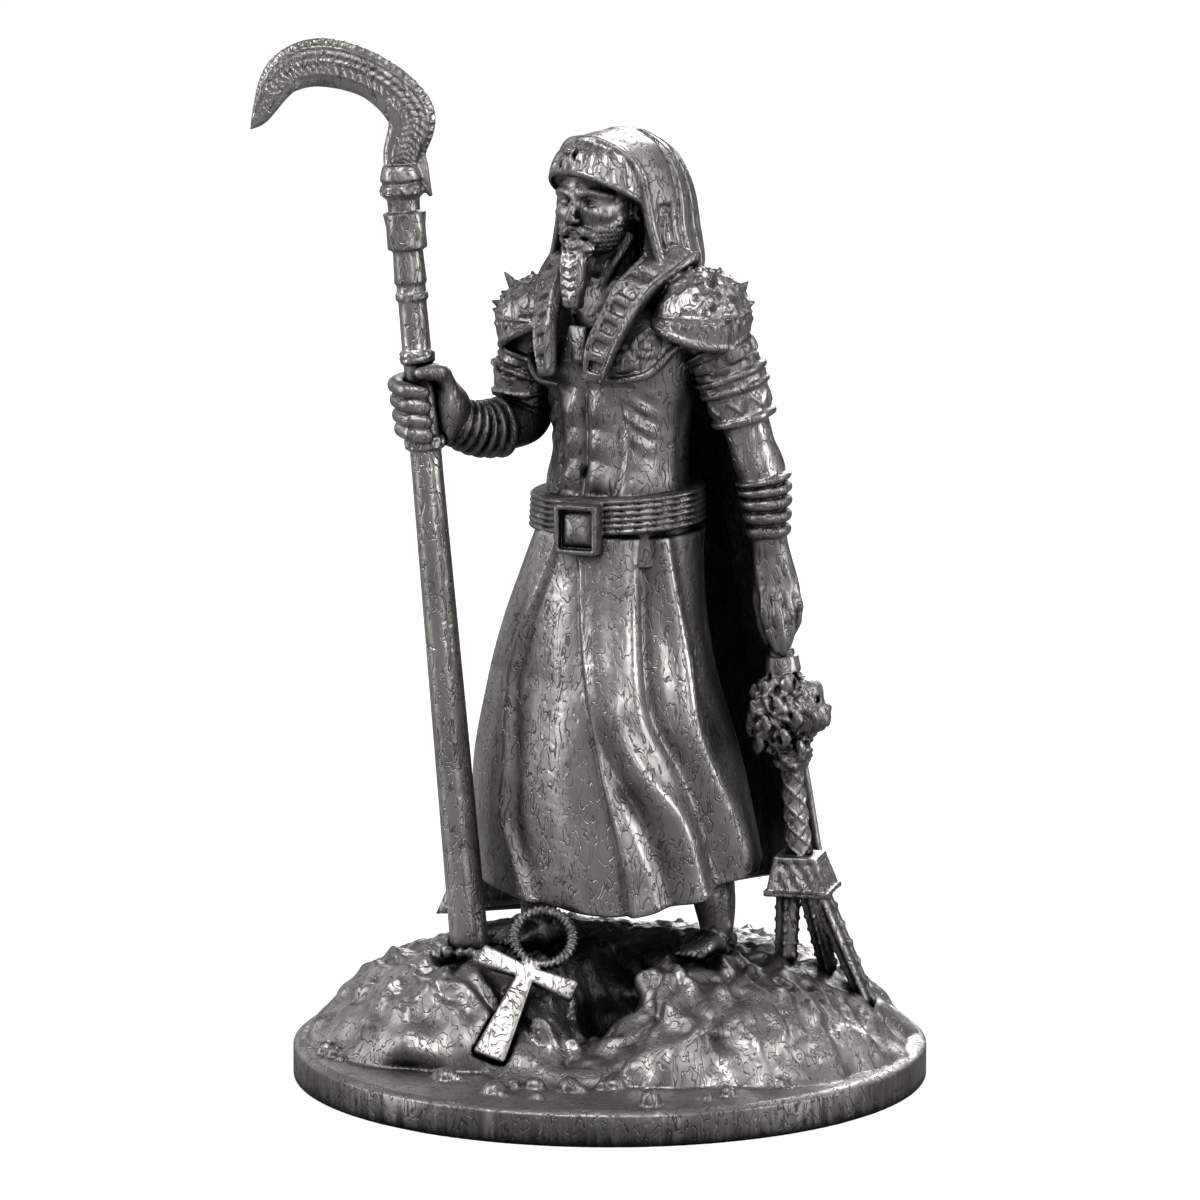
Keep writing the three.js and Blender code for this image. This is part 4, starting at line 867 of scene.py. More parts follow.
def ankh(grow=0.0):
    turn = turned_about_z(STRIDE) @ turned_about_x(math.pi / 2 - ANKH["lean"]) @ turned_about_z(-ANKH["roll"])
    thick = ANKH["thick"] / 2 + grow
    clay = Clay()

    def bar(a, b, start, end):
        return Limb([(*a, 0), (*mixed(a, b, 0.5), 0), (*b, 0)], track([(0, (start, thick)), (1, (end, thick))]),
                    side=(1, 0, 0) if a[0] == b[0] else (0, 1, 0), power=6.0)

    clay.add(bar((0, 0), (0, 8.6), 1.42 + grow, 0.66 + grow))
    for side in (-1, 1):
        clay.add(bar((0, 7.9), (3.95 * side, 7.9), 0.62 + grow, 0.95 + grow))
    rim = 0.1 if grow == 0 else 0.0

    def engraved(turn_at, height):
        return rim * np.cos(turn_at * 34)

    clay.add(Ring((0, 11.4, 0), (2.5, 2.45), (0.45 + grow, 0.5 + grow), skin=engraved), blend=0.05)
    return Moved(clay, ANKH["foot"], turn)


# The rocks: lumps and hollows along short lines, with the rise at each end
PLINTH = {"radius": 27.5, "wall": 2.7, "top": 3.0, "bevel": 0.4}
ROCK = {"top": 10.9, "reach": 26.7, "steep": 4.6}
MOUND_REACH = track([
    (-180, 26.7), (-140, 26.5), (-115, 24.5), (-100, 21), (-86, 18), (-70, 18.3), (-55, 19.5), (-40, 20), (-25, 21.5),
    (-10, 24.5), (10, 26), (60, 26.7), (180, 26.7),
])
LUMPS = (
    ((-9.8, -7.2), (-13.4, -21.6), (0.5, 0.7), 1.7),
    ((-6.8, -9.5), (-6.6, -22.4), (0.2, 1.0), 1.6),
    ((-13.5, -7), (-20.5, -13), (0.2, 0.9), 1.8),
    ((-0.6, -10.5), (0.4, -14), (-0.6, -1.4), 2.3),
    ((1.4, 1.5), (3.8, -4.4), (-2.6, -6.0), 2.1),
    ((3.8, -4.4), (6.6, -13.5), (-6.0, -4.6), 3.4),
    ((9.4, -8.5), (11.5, -12.5), (-2.2, -3.2), 2.8),
    ((7.4, -3.2), (11.2, -5.4), (2.3, 1.4), 1.9),
    ((14.6, -3.6), (19.6, 1.5), (1.1, 0.8), 2.0),
    ((13.2, -1.0), (14.8, -5.6), (-1.4, -0.6), 1.1),
    ((9.2, 4.2), (10.8, 2.0), (1.1, 0.8), 2.1),
    ((14.6, 6.4), (15.8, 8.0), (1.0, 0.9), 2.2),
    ((4.2, -13.2), (5.6, -11.6), (1.1, 0.7), 1.2),
    ((-9, 14), (8, 17), (-0.9, -0.7), 4),
)


def ground_height(x, y):
    out = np.hypot(x, y)
    share = np.minimum(out / MOUND_REACH(np.degrees(np.arctan2(y, x))), 1)
    height = PLINTH["top"] + (ROCK["top"] - PLINTH["top"]) * (1 - share ** ROCK["steep"])
    for start, end, rise, width in LUMPS:
        run = np.array(end) - start
        t = np.clip(((x - start[0]) * run[0] + (y - start[1]) * run[1]) / (run @ run), 0, 1)
        away = np.hypot(x - start[0] - t * run[0], y - start[1] - t * run[1])
        height = height + mix(rise[0], rise[1], t) * hill(away / width) * (1 - share ** 8)
    crumble = np.sin(1.9 * x + 1.1 * y) * np.sin(1.3 * y - 0.8 * x) + 0.6 * np.sin(2.6 * y + x)
    return height + 0.28 * crumble * (1 - share ** 6), share


class Rocks:
    low = np.array([-27.0, -27.0, 1.0])
    high = np.array([27.0, 27.0, 13.4])

    @staticmethod
    def distance(points):
        bend = 0.9 * np.stack([noise(points / 2.6, 3), noise(points / 2.6, 4), 0.6 * noise(points / 2.6, 5)], 1)
        k = points + bend
        height, share = ground_height(k[:, 0], k[:, 1])
        inner = np.clip(1 - share ** 8, 0, 1)
        stretched = k * np.array([1, 1, 0.75])
        crag = 1.5 * (ridged(stretched / 4.2, 11, 4) - 0.62) * inner
        pits = -0.5 * np.clip(noise(k / 1.3, 21) - 0.25, 0, 1) * inner
        away = 0.62 * (points[:, 2] - height - crag - pits)
        return np.maximum(away, np.hypot(points[:, 0], points[:, 1]) - 26.8)


def base():
    edge = PLINTH["radius"]
    clay = Clay()
    clay.add(Turned((0, 0, 0), (0, 0, PLINTH["top"]), [(0, edge), (0.9, edge), (1, edge - PLINTH["bevel"])]))
    clay.add(Rocks(), blend=0.35)
    clay.add(*stones(), blend=0.3)
    clay.cut(Turned(STAFF["foot"], STAFF["root"], [(-0.002, 1.68 + FIT), (0.3, 1.6 + FIT)]))
    clay.cut(ankh(FIT))
    clay.keep(Side((0, 0, 0), (0, 0, -1)))
    return clay


def stones():
    """Loose stones on the ledge and round the foot of the staff."""
    random = np.random.default_rng(5)
    made = []
    for _ in range(34):
        turn = random.uniform(-2.3, 0.3)
        out = random.uniform(17, 25.4)
        size = random.uniform(0.4, 1.1)
        place = (out * math.cos(turn), out * math.sin(turn), 3.0 + 0.3 * size)
        made.append(Egg(place, size * random.uniform(0.7, 1.3, 3), turned_about_z(random.uniform(0, 3)) @ turned_about_x(random.uniform(-0.6, 0.6))))
    foot = np.array(STAFF["foot"])
    for lump in range(15):
        turn = TURN * lump / 15
        out = random.uniform(2.0, 2.5)
        place = foot + np.array([out * math.cos(turn), out * math.sin(turn), random.uniform(0.2, 0.9)])
        made.append(Egg(place, random.uniform(0.35, 0.8, 3)))
    return made


# The skirt. Its outline reaches further along the stride than across it.
SKIRT = {"centre": (0.35, 0.66), "dip": 2.3, "left": 19.2, "right": 16.6, "wall": 1.1}
SKIRT_REACH = track([
    (0, (7.0, 7.5, 6.7, 6.2)), (0.1, (8.1, 7.4, 7.0, 6.4)), (0.27, (9.9, 7.7, 7.9, 7.0)), (0.45, (11.3, 8.6, 8.9, 7.6)),
    (0.7, (12.6, 10.7, 9.4, 8.2)), (1, (12.1, 12.5, 9.7, 8.7)),
])
SEAM = track([(0, -0.47), (0.33, -0.29), (0.53, -0.18), (0.67, -0.09), (0.89, 0.05), (1, 0.09)])
CREASE = track([(0, -0.72), (0.25, -0.81), (0.41, -0.84), (0.66, -0.77), (0.81, -0.78), (1, -0.62)])
FOLDS = (
    (track([(0, 0.5), (0.32, 0.67), (0.59, 0.68), (0.84, 0.82), (1, 0.88)]), 0.95, 0.1, -0.1),
    (track([(0, -0.2), (0.39, -0.13), (0.58, 0.12), (0.77, 0.45), (1, 0.55)]), 0.95, 0.11, 0.25),
    (track([(0, 0.3), (0.12, 0.32), (0.46, 0.36), (0.67, 0.6), (1, 0.74)]), -0.95, 0.1, 0.05),
    (track([(0, -0.1), (0.55, -0.07), (0.74, 0.19), (0.89, 0.34), (1, 0.4)]), -0.95, 0.1, 0.4),
    (track([(0, -0.6), (0.4, -0.5), (0.7, -0.42), (1, -0.3)]), 0.25, 0.14, 0.3),
)


def boxed(x, power):
    return np.sign(x) * np.abs(x) ** power


def fold_height(across, t):
    rise = 0.0
    for line, most, width, start in FOLDS:
        rise = rise + most * hill((across - line(t)) / width) * step(t, start, 0.08)
    inside = step(across, CREASE(t), 0.008) * step(-across, -SEAM(t), 0.006)
    hem = 0.16 * hill((across - SEAM(t) - 0.014) / 0.014) + 0.12 * hill((across - CREASE(t) + 0.016) / 0.016)
    return rise + hem - (0.55 + 0.75 * t) * inside * step(t, 0.04, 0.03)


def skirt_at(angle, t, inset=0.0):
    left, right, near, far = np.moveaxis(SKIRT_REACH(t), -1, 0)
    deep = np.sin(angle)
    drop = np.minimum(1, 2.5 * t)
    leftward = np.cos(angle) < 0
    power = 1 + np.where(leftward & (deep < 0), 0.38 * drop, 0)
    middle = np.where(leftward, 3.5 * drop, 0)
    across = boxed(np.cos(angle), power)
    back = 0.32 * np.cos(11 * angle) * t
    rise = np.where(deep < 0, fold_height(across, t) * np.minimum(1, -2.5 * deep), back * np.minimum(1, 2.5 * deep))
    u = across * (np.where(across > 0, right, left) + rise - inset)
    reach = np.where(deep < 0, near + middle, far - middle)
    w = middle + boxed(deep, power) * (reach + rise - inset)
    hem = mix(SKIRT["right"], SKIRT["left"], 0.5 + 0.5 * across) - SKIRT["dip"] * np.maximum(0, -deep) ** 2
    x = SKIRT["centre"][0] + u * math.cos(STRIDE) - w * math.sin(STRIDE)
    y = SKIRT["centre"][1] + u * math.sin(STRIDE) + w * math.cos(STRIDE)
    return np.stack([x, y, mix(WAIST + 0.6, hem, t) + 0 * x], -1)


def skirt():
    """The cloth's outside from the belt to the hem, a rounded hem, and its inside up into the hollow."""
    around = 260
    angle = np.linspace(0, TURN, around, endpoint=False)[None]
    t = np.linspace(0, 1, 90)[:, None]
    outside = skirt_at(angle, t)
    hem = []
    for share in np.linspace(0.2, 0.8, 4):
        row = skirt_at(angle, np.array([[1.0]]), SKIRT["wall"] * 0.5 * (1 - math.cos(math.pi * share)))
        row[..., 2] -= 0.28 * math.sin(math.pi * share)
        hem.append(row)
    t = np.linspace(1, 0.76, 9)[:, None]
    inside = skirt_at(angle, t, SKIRT["wall"] + 2.2 * ((1 - t) / 0.24) ** 2)
    return loft("skirt", np.concatenate([outside, *hem, inside]))


# The cape: one curved sheet behind the figure, from the shoulders to just over the ground
CAPE_THICK = 1.1
CAPE_LEFT = track([(0, (7.6, 4.6, 66.4)), (0.45, (10.4, 8.2, 44)), (0.78, (11.4, 11.6, 28)), (1, (12.3, 13.0, 17.6))])
CAPE_RIGHT = track([(0, (-7.2, 4.4, 66)), (0.4, (-11.2, 4.6, 44)), (0.75, (-15.6, 3.2, 24)), (1, (-19.6, 0.2, 11.0))])
CAPE_BACK = track([(0, (0.2, 6.2, 66.6)), (0.4, (-0.4, 9.6, 44)), (0.75, (-2, 12.8, 27)), (1, (-3.8, 15.6, 13.2))])


def cape_at(side, t, offset):
    shares = ((side * side + side) / 2, 1 - side * side, (side * side - side) / 2)
    point = sum(share[..., None] * line(t) for share, line in zip(shares, (CAPE_LEFT, CAPE_BACK, CAPE_RIGHT)))
    out = point - np.stack([0 * side - 0.5, 0 * side + 1.5, point[..., 2]], -1)
    out = out / np.linalg.norm(out, axis=-1, keepdims=True)
    fold = 0.55 * t * np.cos(13 * side) + 0.1 * t * np.cos(29 * side + 4 * t)
    return point + out * (offset + fold)[..., None]


def cape():
    around = 200
    angle = np.linspace(0, TURN, around, endpoint=False)[None]
    t = np.linspace(0, 1, 50)[:, None]
    half = angle / math.pi
    side = np.where(half <= 1, 2 * half - 1, 3 - 2 * half)
    edge = np.sqrt(np.maximum(1 - np.abs(side) ** 18, 0.001))
    hem = 0.18 * hill((t - 0.985) / 0.012) + 0.16 * hill((np.abs(side) - 0.965) / 0.02)
    offset = np.where(half <= 1, -0.5, 0.5) * CAPE_THICK * edge + np.where(half <= 1, -1, 1) * hem * edge
    return loft("cape", cape_at(side + 0 * t, t + 0 * side, offset))




# The body
TORSO = track([
    (45.5, (0.3, 0.5, 7.2, 5.8)), (50, (0.3, 0.8, 7.0, 5.4)), (54, (0.35, 1.0, 6.5, 4.8)),
    (58.5, (0.35, 1.1, 6.9, 4.9)), (62.5, (0.4, 1.2, 8.0, 5.2)), (66, (0.3, 1.3, 8.1, 4.6)),
    (68.4, (0.1, 1.2, 5.6, 3.7)), (69.8, (0, 1.0, 3.0, 2.8)),
])


class Torso:
    def __init__(self):
        self.low, self.high = np.array([-8.6, -5.4, 45.5]), np.array([9.2, 7.2, 69.8])
        self.heights = np.linspace(45.5, 69.8, 200)
        self.sizes = TORSO(self.heights)
        self.slope = np.gradient(self.sizes[:, 2:].mean(1), self.heights)

    def distance(self, points):
        x, y, wide, deep = [np.interp(points[:, 2], self.heights, self.sizes[:, k]) for k in range(4)]
        slope = np.interp(points[:, 2], self.heights, self.slope)
        k = np.stack([points[:, 0] - x, points[:, 1] - y], 1)
        away = oval_distance(k, np.stack([wide, deep], 1)) / np.sqrt(1 + slope ** 2)
        ahead = np.clip(-k[:, 1] / deep, 0, 1)
        away = away - np.sqrt(ahead) * self.muscles(k[:, 0], points[:, 2])
        spine = (k[:, 1] > 0) * 0.5 * hill(k[:, 0] / 1.0)
        return np.maximum(away + spine, np.maximum(45.5 - points[:, 2], points[:, 2] - 69.8))

    @staticmethod
    def muscles(across, height):
        side = np.abs(across)
        breast = 0.95 * hill((side - 3.1) / 2.7) * hill((height - 63.2) / 2.3)
        under = -0.45 * hill((side - 3.3) / 2.8) * hill((height - 60.5 - 0.07 * side) / 0.55)
        midline = -0.42 * hill(across / 0.42) * step(height, 50.5, 0.5) * step(-height, -63, 0.8)
        rows = 0.5 + 0.5 * np.cos(TURN * (height - 58.4) / 2.75)
        wall = hill((side - 1.55) / 1.05) * step(height, 50, 0.5) * step(-height, -60, 0.3) * (0.1 + 0.55 * rows ** 0.7)
        flank = -0.42 * hill((side - 3.25 - 0.06 * (height - 55)) / 0.5) * step(-height, -60, 0.4)
        ribs = 0.26 * np.cos(TURN * (height + 0.75 * side) / 1.75) * hill((side - 5.0) / 1.1) * hill((height - 58) / 2.6)
        hip = 0.4 * hill((side - 4.8) / 1.3) * hill((height - 52 - 0.5 * (side - 4.5)) / 1.2)
        navel = -0.5 * hill(across / 0.25) * hill((height - 53.2) / 0.4)
        collar = 0.3 * hill((height - 66.9 - 0.12 * side) / 0.4) * hill((side - 3.2) / 2.4)
        return breast + under + midline + wall + flank + ribs + hip + navel + collar


def chest_edge():
    """The raised edge under the breast, from the lappet's end round to the armpit, with its peak."""
    clay = Clay()
    left = [(1.6, -4.4, 61.7), (4.6, -4.1, 61.65), (6.6, -2.5, 62.3), (8.2, -0.4, 64.6), (9.8, 1.2, 63.3)]
    right = [(-1.8, -4.8, 60.8), (-4.4, -4.0, 60.8), (-6.6, -2.6, 61.8), (-8.0, -0.9, 62.8)]
    for line in (left, right):
        clay.add(Limb(line, track([(0, 0.2), (0.5, 0.36), (1, 0.3)])), blend=0.25)
    return clay


def scrolls(points):
    """Fine scroll lines on the upper chest."""
    centres = np.array([(4.6, 63.4), (6.3, 64.6), (-4.8, 63.6)])
    lift = 0.0
    for x, z in centres:
        out = np.hypot(points[:, 0] - x, points[:, 2] - z)
        turn = np.arctan2(points[:, 2] - z, points[:, 0] - x)
        lift = lift + 0.09 * np.cos(TURN * out / 0.75 + turn) * step(1.5 - out, 0, 0.1)
    return lift * (points[:, 1] < 1)


# Shoulder armour
SHOULDERS = (
    {"centre": (9.1, 1.5, 66.6), "half": (3.9, 4.5, 4.5), "tilt": 0.35},
    {"centre": (-8.3, 0.7, 64.9), "half": (3.7, 4.3, 4.1), "tilt": -0.45},
)
THORNS = (
    (0.62, -0.35, 0.9, 1.5), (0.9, -0.62, 0.45, 0.8), (0.95, -0.1, 0.5, 0.8), (0.72, 0.5, 0.7, 0.9), (0.99, -0.3, 0.12, 0.7),
)
SMALL_THORNS = (
    (0.55, -0.8, 0.65, 0.5), (0.35, 0.1, 0.95, 0.55), (0.8, 0.25, 0.75, 0.6), (0.85, 0.6, 0.35, 0.6), (0.9, -0.45, 0.7, 0.55),
    (0.3, -0.5, 0.95, 0.45), (0.98, 0.2, 0.2, 0.6), (0.75, -0.75, 0.3, 0.5), (0.5, 0.75, 0.6, 0.55),
)


def knotwork(k):
    """Interlaced bands on a dome, with a row of beads above the rim. k is a direction from the middle."""
    turn = np.arctan2(k[:, 1], k[:, 0])
    lift = np.degrees(np.arctan2(k[:, 2], np.hypot(k[:, 0], k[:, 1])))
    beads = 0.17 * np.clip(np.cos(turn * 30), -0.3, 1) * hill((lift - 1) / 3.2)
    cord = 0.14 * hill((lift - 9) / 1.6)
    field = step(lift, 13, 0.8)
    wave = np.sin(turn * 7) * 9
    first = hill((np.mod(lift + wave, 26) - 13) / 3.0)
    second = hill((np.mod(lift - wave + 13, 26) - 13) / 3.0)
    studs = hill((np.mod(lift, 13) - 6.5) / 2.2) * hill(np.sin(turn * 7) / 0.25)
    return beads + cord + field * (0.2 * np.maximum(first, second) + 0.12 * studs - 0.05)


def shoulder_plate(centre, half, tilt):
    centre, half = np.array(centre), np.array(half)
    turn = turned_about_y(tilt)
    out = 1 if tilt > 0 else -1
    clay = Clay().add(Egg(centre, half, skin=knotwork))
    under = centre + turn @ np.array([0, 0, -0.9])
    clay.cut(Side(under, turn @ UP))
    rim = Ring(centre + turn @ np.array([0, 0, -0.75]), (half[0] - 0.05, half[1] - 0.05), (0.34, 0.4), turn)
    clay.add(rim, blend=0.1)
    for x, y, z, length in THORNS + SMALL_THORNS:
        way = np.array([out * x, y, z]) * half
        way = way / np.linalg.norm(way)
        skin = centre + way / np.linalg.norm(way / half)
        root = 0.42 + 0.12 * length
        clay.add(Turned(skin - 0.3 * way, skin + length * way, [(0, root), (0.3, root * 0.78), (1, 0.05)]), blend=0.12)
    return clay


# The arms, each a chain of joints from the shoulder to the wrist
LEFT_ARM = [(8.6, 1.6, 66.8), (10.6, 3.0, 62.6), (12.3, 4.4, 55.4), (13.0, 4.95, 52.6), (13.35, 5.3, 47.2)]
RIGHT_ARM = [(-8.0, 0.7, 65.2), (-9.5, 0.2, 60.0), (-9.4, 0.1, 56.6), (-10.5, -4.6, 56.0), (-11.55, -8.5, 57.4)]
ARM_SIZE = track([
    (0, (2.6, 2.7)), (0.25, (2.5, 2.6)), (0.45, (1.95, 2.1)), (0.55, (2.1, 2.2)), (0.75, (1.95, 2.0)), (1, (1.35, 1.5)),
])
LEFT_SLEEVES = (
    (0, 0), (0.128, 0), (0.134, 0.72), (0.147, 0.75), (0.153, 0.42), (0.262, 0.42), (0.268, 0.8), (0.281, 0.82),
    (0.287, 0.5), (0.302, 0.5), (0.308, 0.8), (0.318, 0.8), (0.324, 0.46), (0.382, 0.46), (0.388, 0.8), (0.402, 0.8), (0.41, 0), (1, 0),
)
RIGHT_SLEEVES = (
    (0, 0), (0.12, 0), (0.126, 0.6), (0.142, 0.62), (0.148, 0.3), (0.195, 0.3), (0.2, 0.65), (0.218, 0.65), (0.223, 0.35),
    (0.292, 0.35), (0.297, 0.65), (0.315, 0.65), (0.32, 0.35), (0.377, 0.35), (0.382, 0.6), (0.4, 0.6), (0.41, 0), (1, 0),
)


def arm(line, sleeves, first, last, count, rise, side, seed):
    """An upper arm in ornamented sleeves and a forearm in bracelets that stand side by side."""
    place, lift = zip(*sleeves)
    pitch = (last - first) / count

    def size(t):
        return np.array(ARM_SIZE(t)) + np.interp(t, place, lift)

    def ornament(t, u, v):
        turn = np.arctan2(v, u)
        rings = (t > first) * (t < last) * rise * np.sqrt(np.maximum(1 - ((np.mod(t - first, pitch) / pitch - 0.5) / 0.43) ** 2, 0))
        upper = step(t, 0.165, 0.003) * step(-t, -0.25, 0.003)
        plaque = np.clip(np.cos(turn * 5 + seed) * 6, -1, 1) * np.clip(np.cos(TURN * (t - 0.2075) / 0.1) * 6, -1, 1)
        inlay = hill((np.mod(turn * 5 + seed, TURN) - math.pi) / 0.5) * hill((t - 0.2075) / 0.012)
        lower = step(t, 0.328, 0.002) * step(-t, -0.378, 0.002)
        zigzag = np.abs(np.mod(turn * 8 / TURN, 1) * 2 - 1) * 0.034 + 0.336
        beads = 0.2 * hill((t - zigzag) / 0.007)
        pearls = 0.18 * hill((np.mod(turn * 14 / TURN, 1) - 0.5) / 0.28) * hill((t - 0.295) / 0.006)
        muscle = 0.22 * hill((t - 0.45) / 0.03) * hill((np.mod(turn + 2.2, TURN) - math.pi) / 0.8)
        tendon = 0.1 * np.cos(turn * 3 + 1) * step(t, 0.5, 0.03) * step(-t, -first, 0.01)
        return rings + upper * (0.16 * plaque + 0.16 * inlay) + lower * beads + pearls + muscle + tendon

    return Limb(line, size, side=side, skin=ornament, steps=14)


def hand_frame(rod):
    def place(across, ahead, height):
        flat = np.array([rod[0], rod[1], 0]) + RIGHTWARD * across + NEARWARD * ahead
        return flat + UP * height
    return place


def left_hand():
    """The hand hangs, with its fingers and thumb closed on the flail's rod."""
    place = hand_frame(FLAIL["top"])
    clay = Clay()
    palm = [place(-0.7, 0, 48.2), place(-0.5, 0.1, 46), place(-0.05, 0.2, 43.6), place(0.1, 0.2, 42.2)]
    clay.add(Limb(palm, track([(0, (1.35, 1.25)), (0.45, (1.75, 1.2)), (0.8, (1.85, 1.0)), (1, (1.5, 0.8))]), side=RIGHTWARD))
    fingers = (
        ((-1.15, 0.7, 43.4), (-1.05, 1.25, 41.4), (-0.6, 1.3, 39.7), (-0.1, 1.05, 38.2), 0.5),
        ((-0.25, 1.0, 43.3), (0.0, 1.5, 41.2), (0.3, 1.4, 39.5), (0.4, 1.1, 38.0), 0.52),
        ((0.65, 0.8, 43.3), (1.0, 1.25, 41.4), (1.0, 1.1, 39.9), (0.85, 0.85, 38.7), 0.5),
        ((1.35, 0.3, 43.5), (1.7, 0.55, 42), (1.6, 0.45, 40.7), (1.3, 0.3, 39.7), 0.44),
        ((-1.45, -0.1, 44.8), (-1.7, -0.3, 42.4), (-1.35, -0.35, 40.2), (-0.85, -0.3, 38.6), 0.5),
    )
    for *joints, thick in fingers:
        line = [place(*joint) for joint in joints]
        knuckles = track([(0, thick), (0.16, thick * 0.92), (0.33, thick * 1.08), (0.5, thick * 0.86), (0.66, thick * 0.98),
                          (0.85, thick * 0.82), (1, thick * 0.66)])
        clay.add(Limb(line, knuckles, side=RIGHTWARD), blend=0.16)
    for across in (-0.9, 0.0, 0.8):
        tendon = [place(across * 0.5 - 0.4, 1.0, 46.6), place(across, 1.08, 44.8), place(across * 1.1, 0.95, 43.2)]
        clay.add(Limb(tendon, lambda t: 0.2), blend=0.3)
    return clay


# The right fist closes round the staff
def staff_at(height):
    share = (height - STAFF["foot"][2]) / (STAFF["root"][2] - STAFF["foot"][2])
    return np.array(mixed(STAFF["foot"], STAFF["root"], share))


def right_fist():
    middle = staff_at(58.8)
    way = math.atan2(RIGHT_ARM[2][1] - middle[1], RIGHT_ARM[2][0] - middle[0])

    def around(height, turn, out):
        return staff_at(height) + out * np.array([math.cos(turn), math.sin(turn), 0])

    clay = Clay()
    across = (-math.sin(way), math.cos(way), 0)
    palm = [around(60.9, way, 1.9), around(58.8, way, 2.1), around(56.2, way, 1.9)]
    clay.add(Limb(palm, track([(0, (1.5, 1.3)), (0.5, (2.25, 1.65)), (1, (1.4, 1.2))]), side=across))
    clay.add(Egg(around(58.2, way, 2.9), (1.9, 1.9, 2.1)), blend=0.8)
    for finger, height in enumerate((60.55, 59.25, 57.95, 56.75)):
        shares = (1.25, 0.75, 0.2, -0.35, -0.8)
        line = [around(height - 0.35 * share, way + 0.38 * math.pi + share * 1.5 + 1.1, 2.05 - 0.08 * finger) for share in shares]
        joints = track([(0, 0.62), (0.2, 0.74), (0.38, 0.62), (0.55, 0.74), (0.78, 0.6), (1, 0.5)])
        clay.add(Limb(line, lambda t: (0.64, joints(t)), side=UP, power=2.4), blend=0.14)
    thumb = [around(58.8, way - 0.5, 2.6), around(60.6, way - 0.75, 2.35), around(61.7, way - 1.2, 2.05), around(61.7, way - 2.1, 1.9)]
    clay.add(Limb(thumb, track([(0, 0.9), (0.4, 0.76), (0.7, 0.8), (1, 0.6)]), side=UP), blend=0.3)
    nail = around(61.75, way - 2.0, 2.45)
    clay.add(Egg(nail, (0.4, 0.35, 0.42)), blend=0.08)
    return clay


def pendant():
    """A plate on the breast, with a chain of links round the neck and a small drop."""
    clay = Clay()
    def taper(t, u, v):
        return 0.08 * hill((np.abs(u) - 0.85) / 0.1)
    clay.add(Limb([(0.2, -4.2, 65.5), (0.2, -4.35, 64.4), (0.2, -4.4, 63.3)], track([(0, (0.95, 0.5)), (1, (1.5, 0.5))]), power=5.0, skin=taper))
    chain = [(-2.6, -1.7, 68.6), (-1.4, -3.35, 66.6), (0.2, -4.1, 65.6), (1.8, -3.35, 66.6), (3.0, -1.7, 68.6)]
    clay.add(Limb(chain, lambda t: 0.17 + 0.1 * abs(math.sin(t * math.pi * 22)), side=(0, 0, 1)))
    drop = [(1.0, -4.3, 65.6), (1.05, -4.85, 64.6), (1.05, -4.9, 63.0)]
    clay.add(Limb(drop, lambda t: 0.16 + 0.09 * abs(math.sin(t * math.pi * 6))))
    return clay


def belt():
    """A tilted band of parallel cords with a square buckle."""
    cords, tall, base_height = 6, 3.1, 48.4
    clay = Clay()

    class Band:
        low, high = np.array([-8.6, -6.6, 46.4]), np.array([9.2, 7.8, 53.2])

        @staticmethod
        def distance(points):
            k = points - np.array([0.35, 0.65, 0])
            tilt = 0.065 * k[:, 0] + 0.055 * k[:, 1]
            share = (k[:, 2] - base_height - tilt) / tall
            rib = np.sqrt(np.abs(np.sin(math.pi * cords * np.clip(share, 0, 1)))) * 0.42
            half = np.stack([7.95 - 0.15 * share + rib, 6.25 - 0.15 * share + rib], 1)
            away = oval_distance(k[:, :2], half)
            return np.maximum(0.8 * away, (np.abs(share - 0.5) - 0.5) * tall)

    clay.add(Band())
    place, turn = np.array([2.0, -6.5, 48.9]), turned_about_z(0.32)
    clay.add(Block(place, (1.95, 0.8, 2.15), turn, soft=0.18))
    clay.cut(Block(place + turn @ np.array([0, -0.8, 0]), (1.5, 0.45, 1.68), turn, soft=0.08))
    rim = [place + turn @ np.array([x, -0.78, z]) for x, z in ((-1.72, -1.92), (1.72, -1.92), (1.72, 1.92), (-1.72, 1.92))]
    for a, b in zip(rim, rim[1:] + rim[:1]):
        clay.add(Limb([a, (a + b) / 2, b], lambda t: 0.22), blend=0.05)

    class Stone:
        low, high = place - 2.2, place + 2.2

        @staticmethod
        def distance(points):
            k = (points - place) @ turn
            fall = np.maximum(np.abs(k[:, 0]) / 1.32, np.abs(k[:, 2]) / 1.5)
            return np.maximum(0.7 * (-k[:, 1] - 0.45 - 0.75 * (1 - fall)), np.maximum(k[:, 1] + 0.2, (fall - 1) * 1.3))

    clay.add(Stone())
    return clay


FEET = (
    {"ankle": (8.9, 3.7), "toe": (9.3, -0.2), "top": (7.6, 3.2, 25), "sole": 11.3},
    {"ankle": (-5.9, -2.6), "toe": (-6.3, -6.8), "top": (-4.2, -1.2, 25), "sole": 11.2},
)


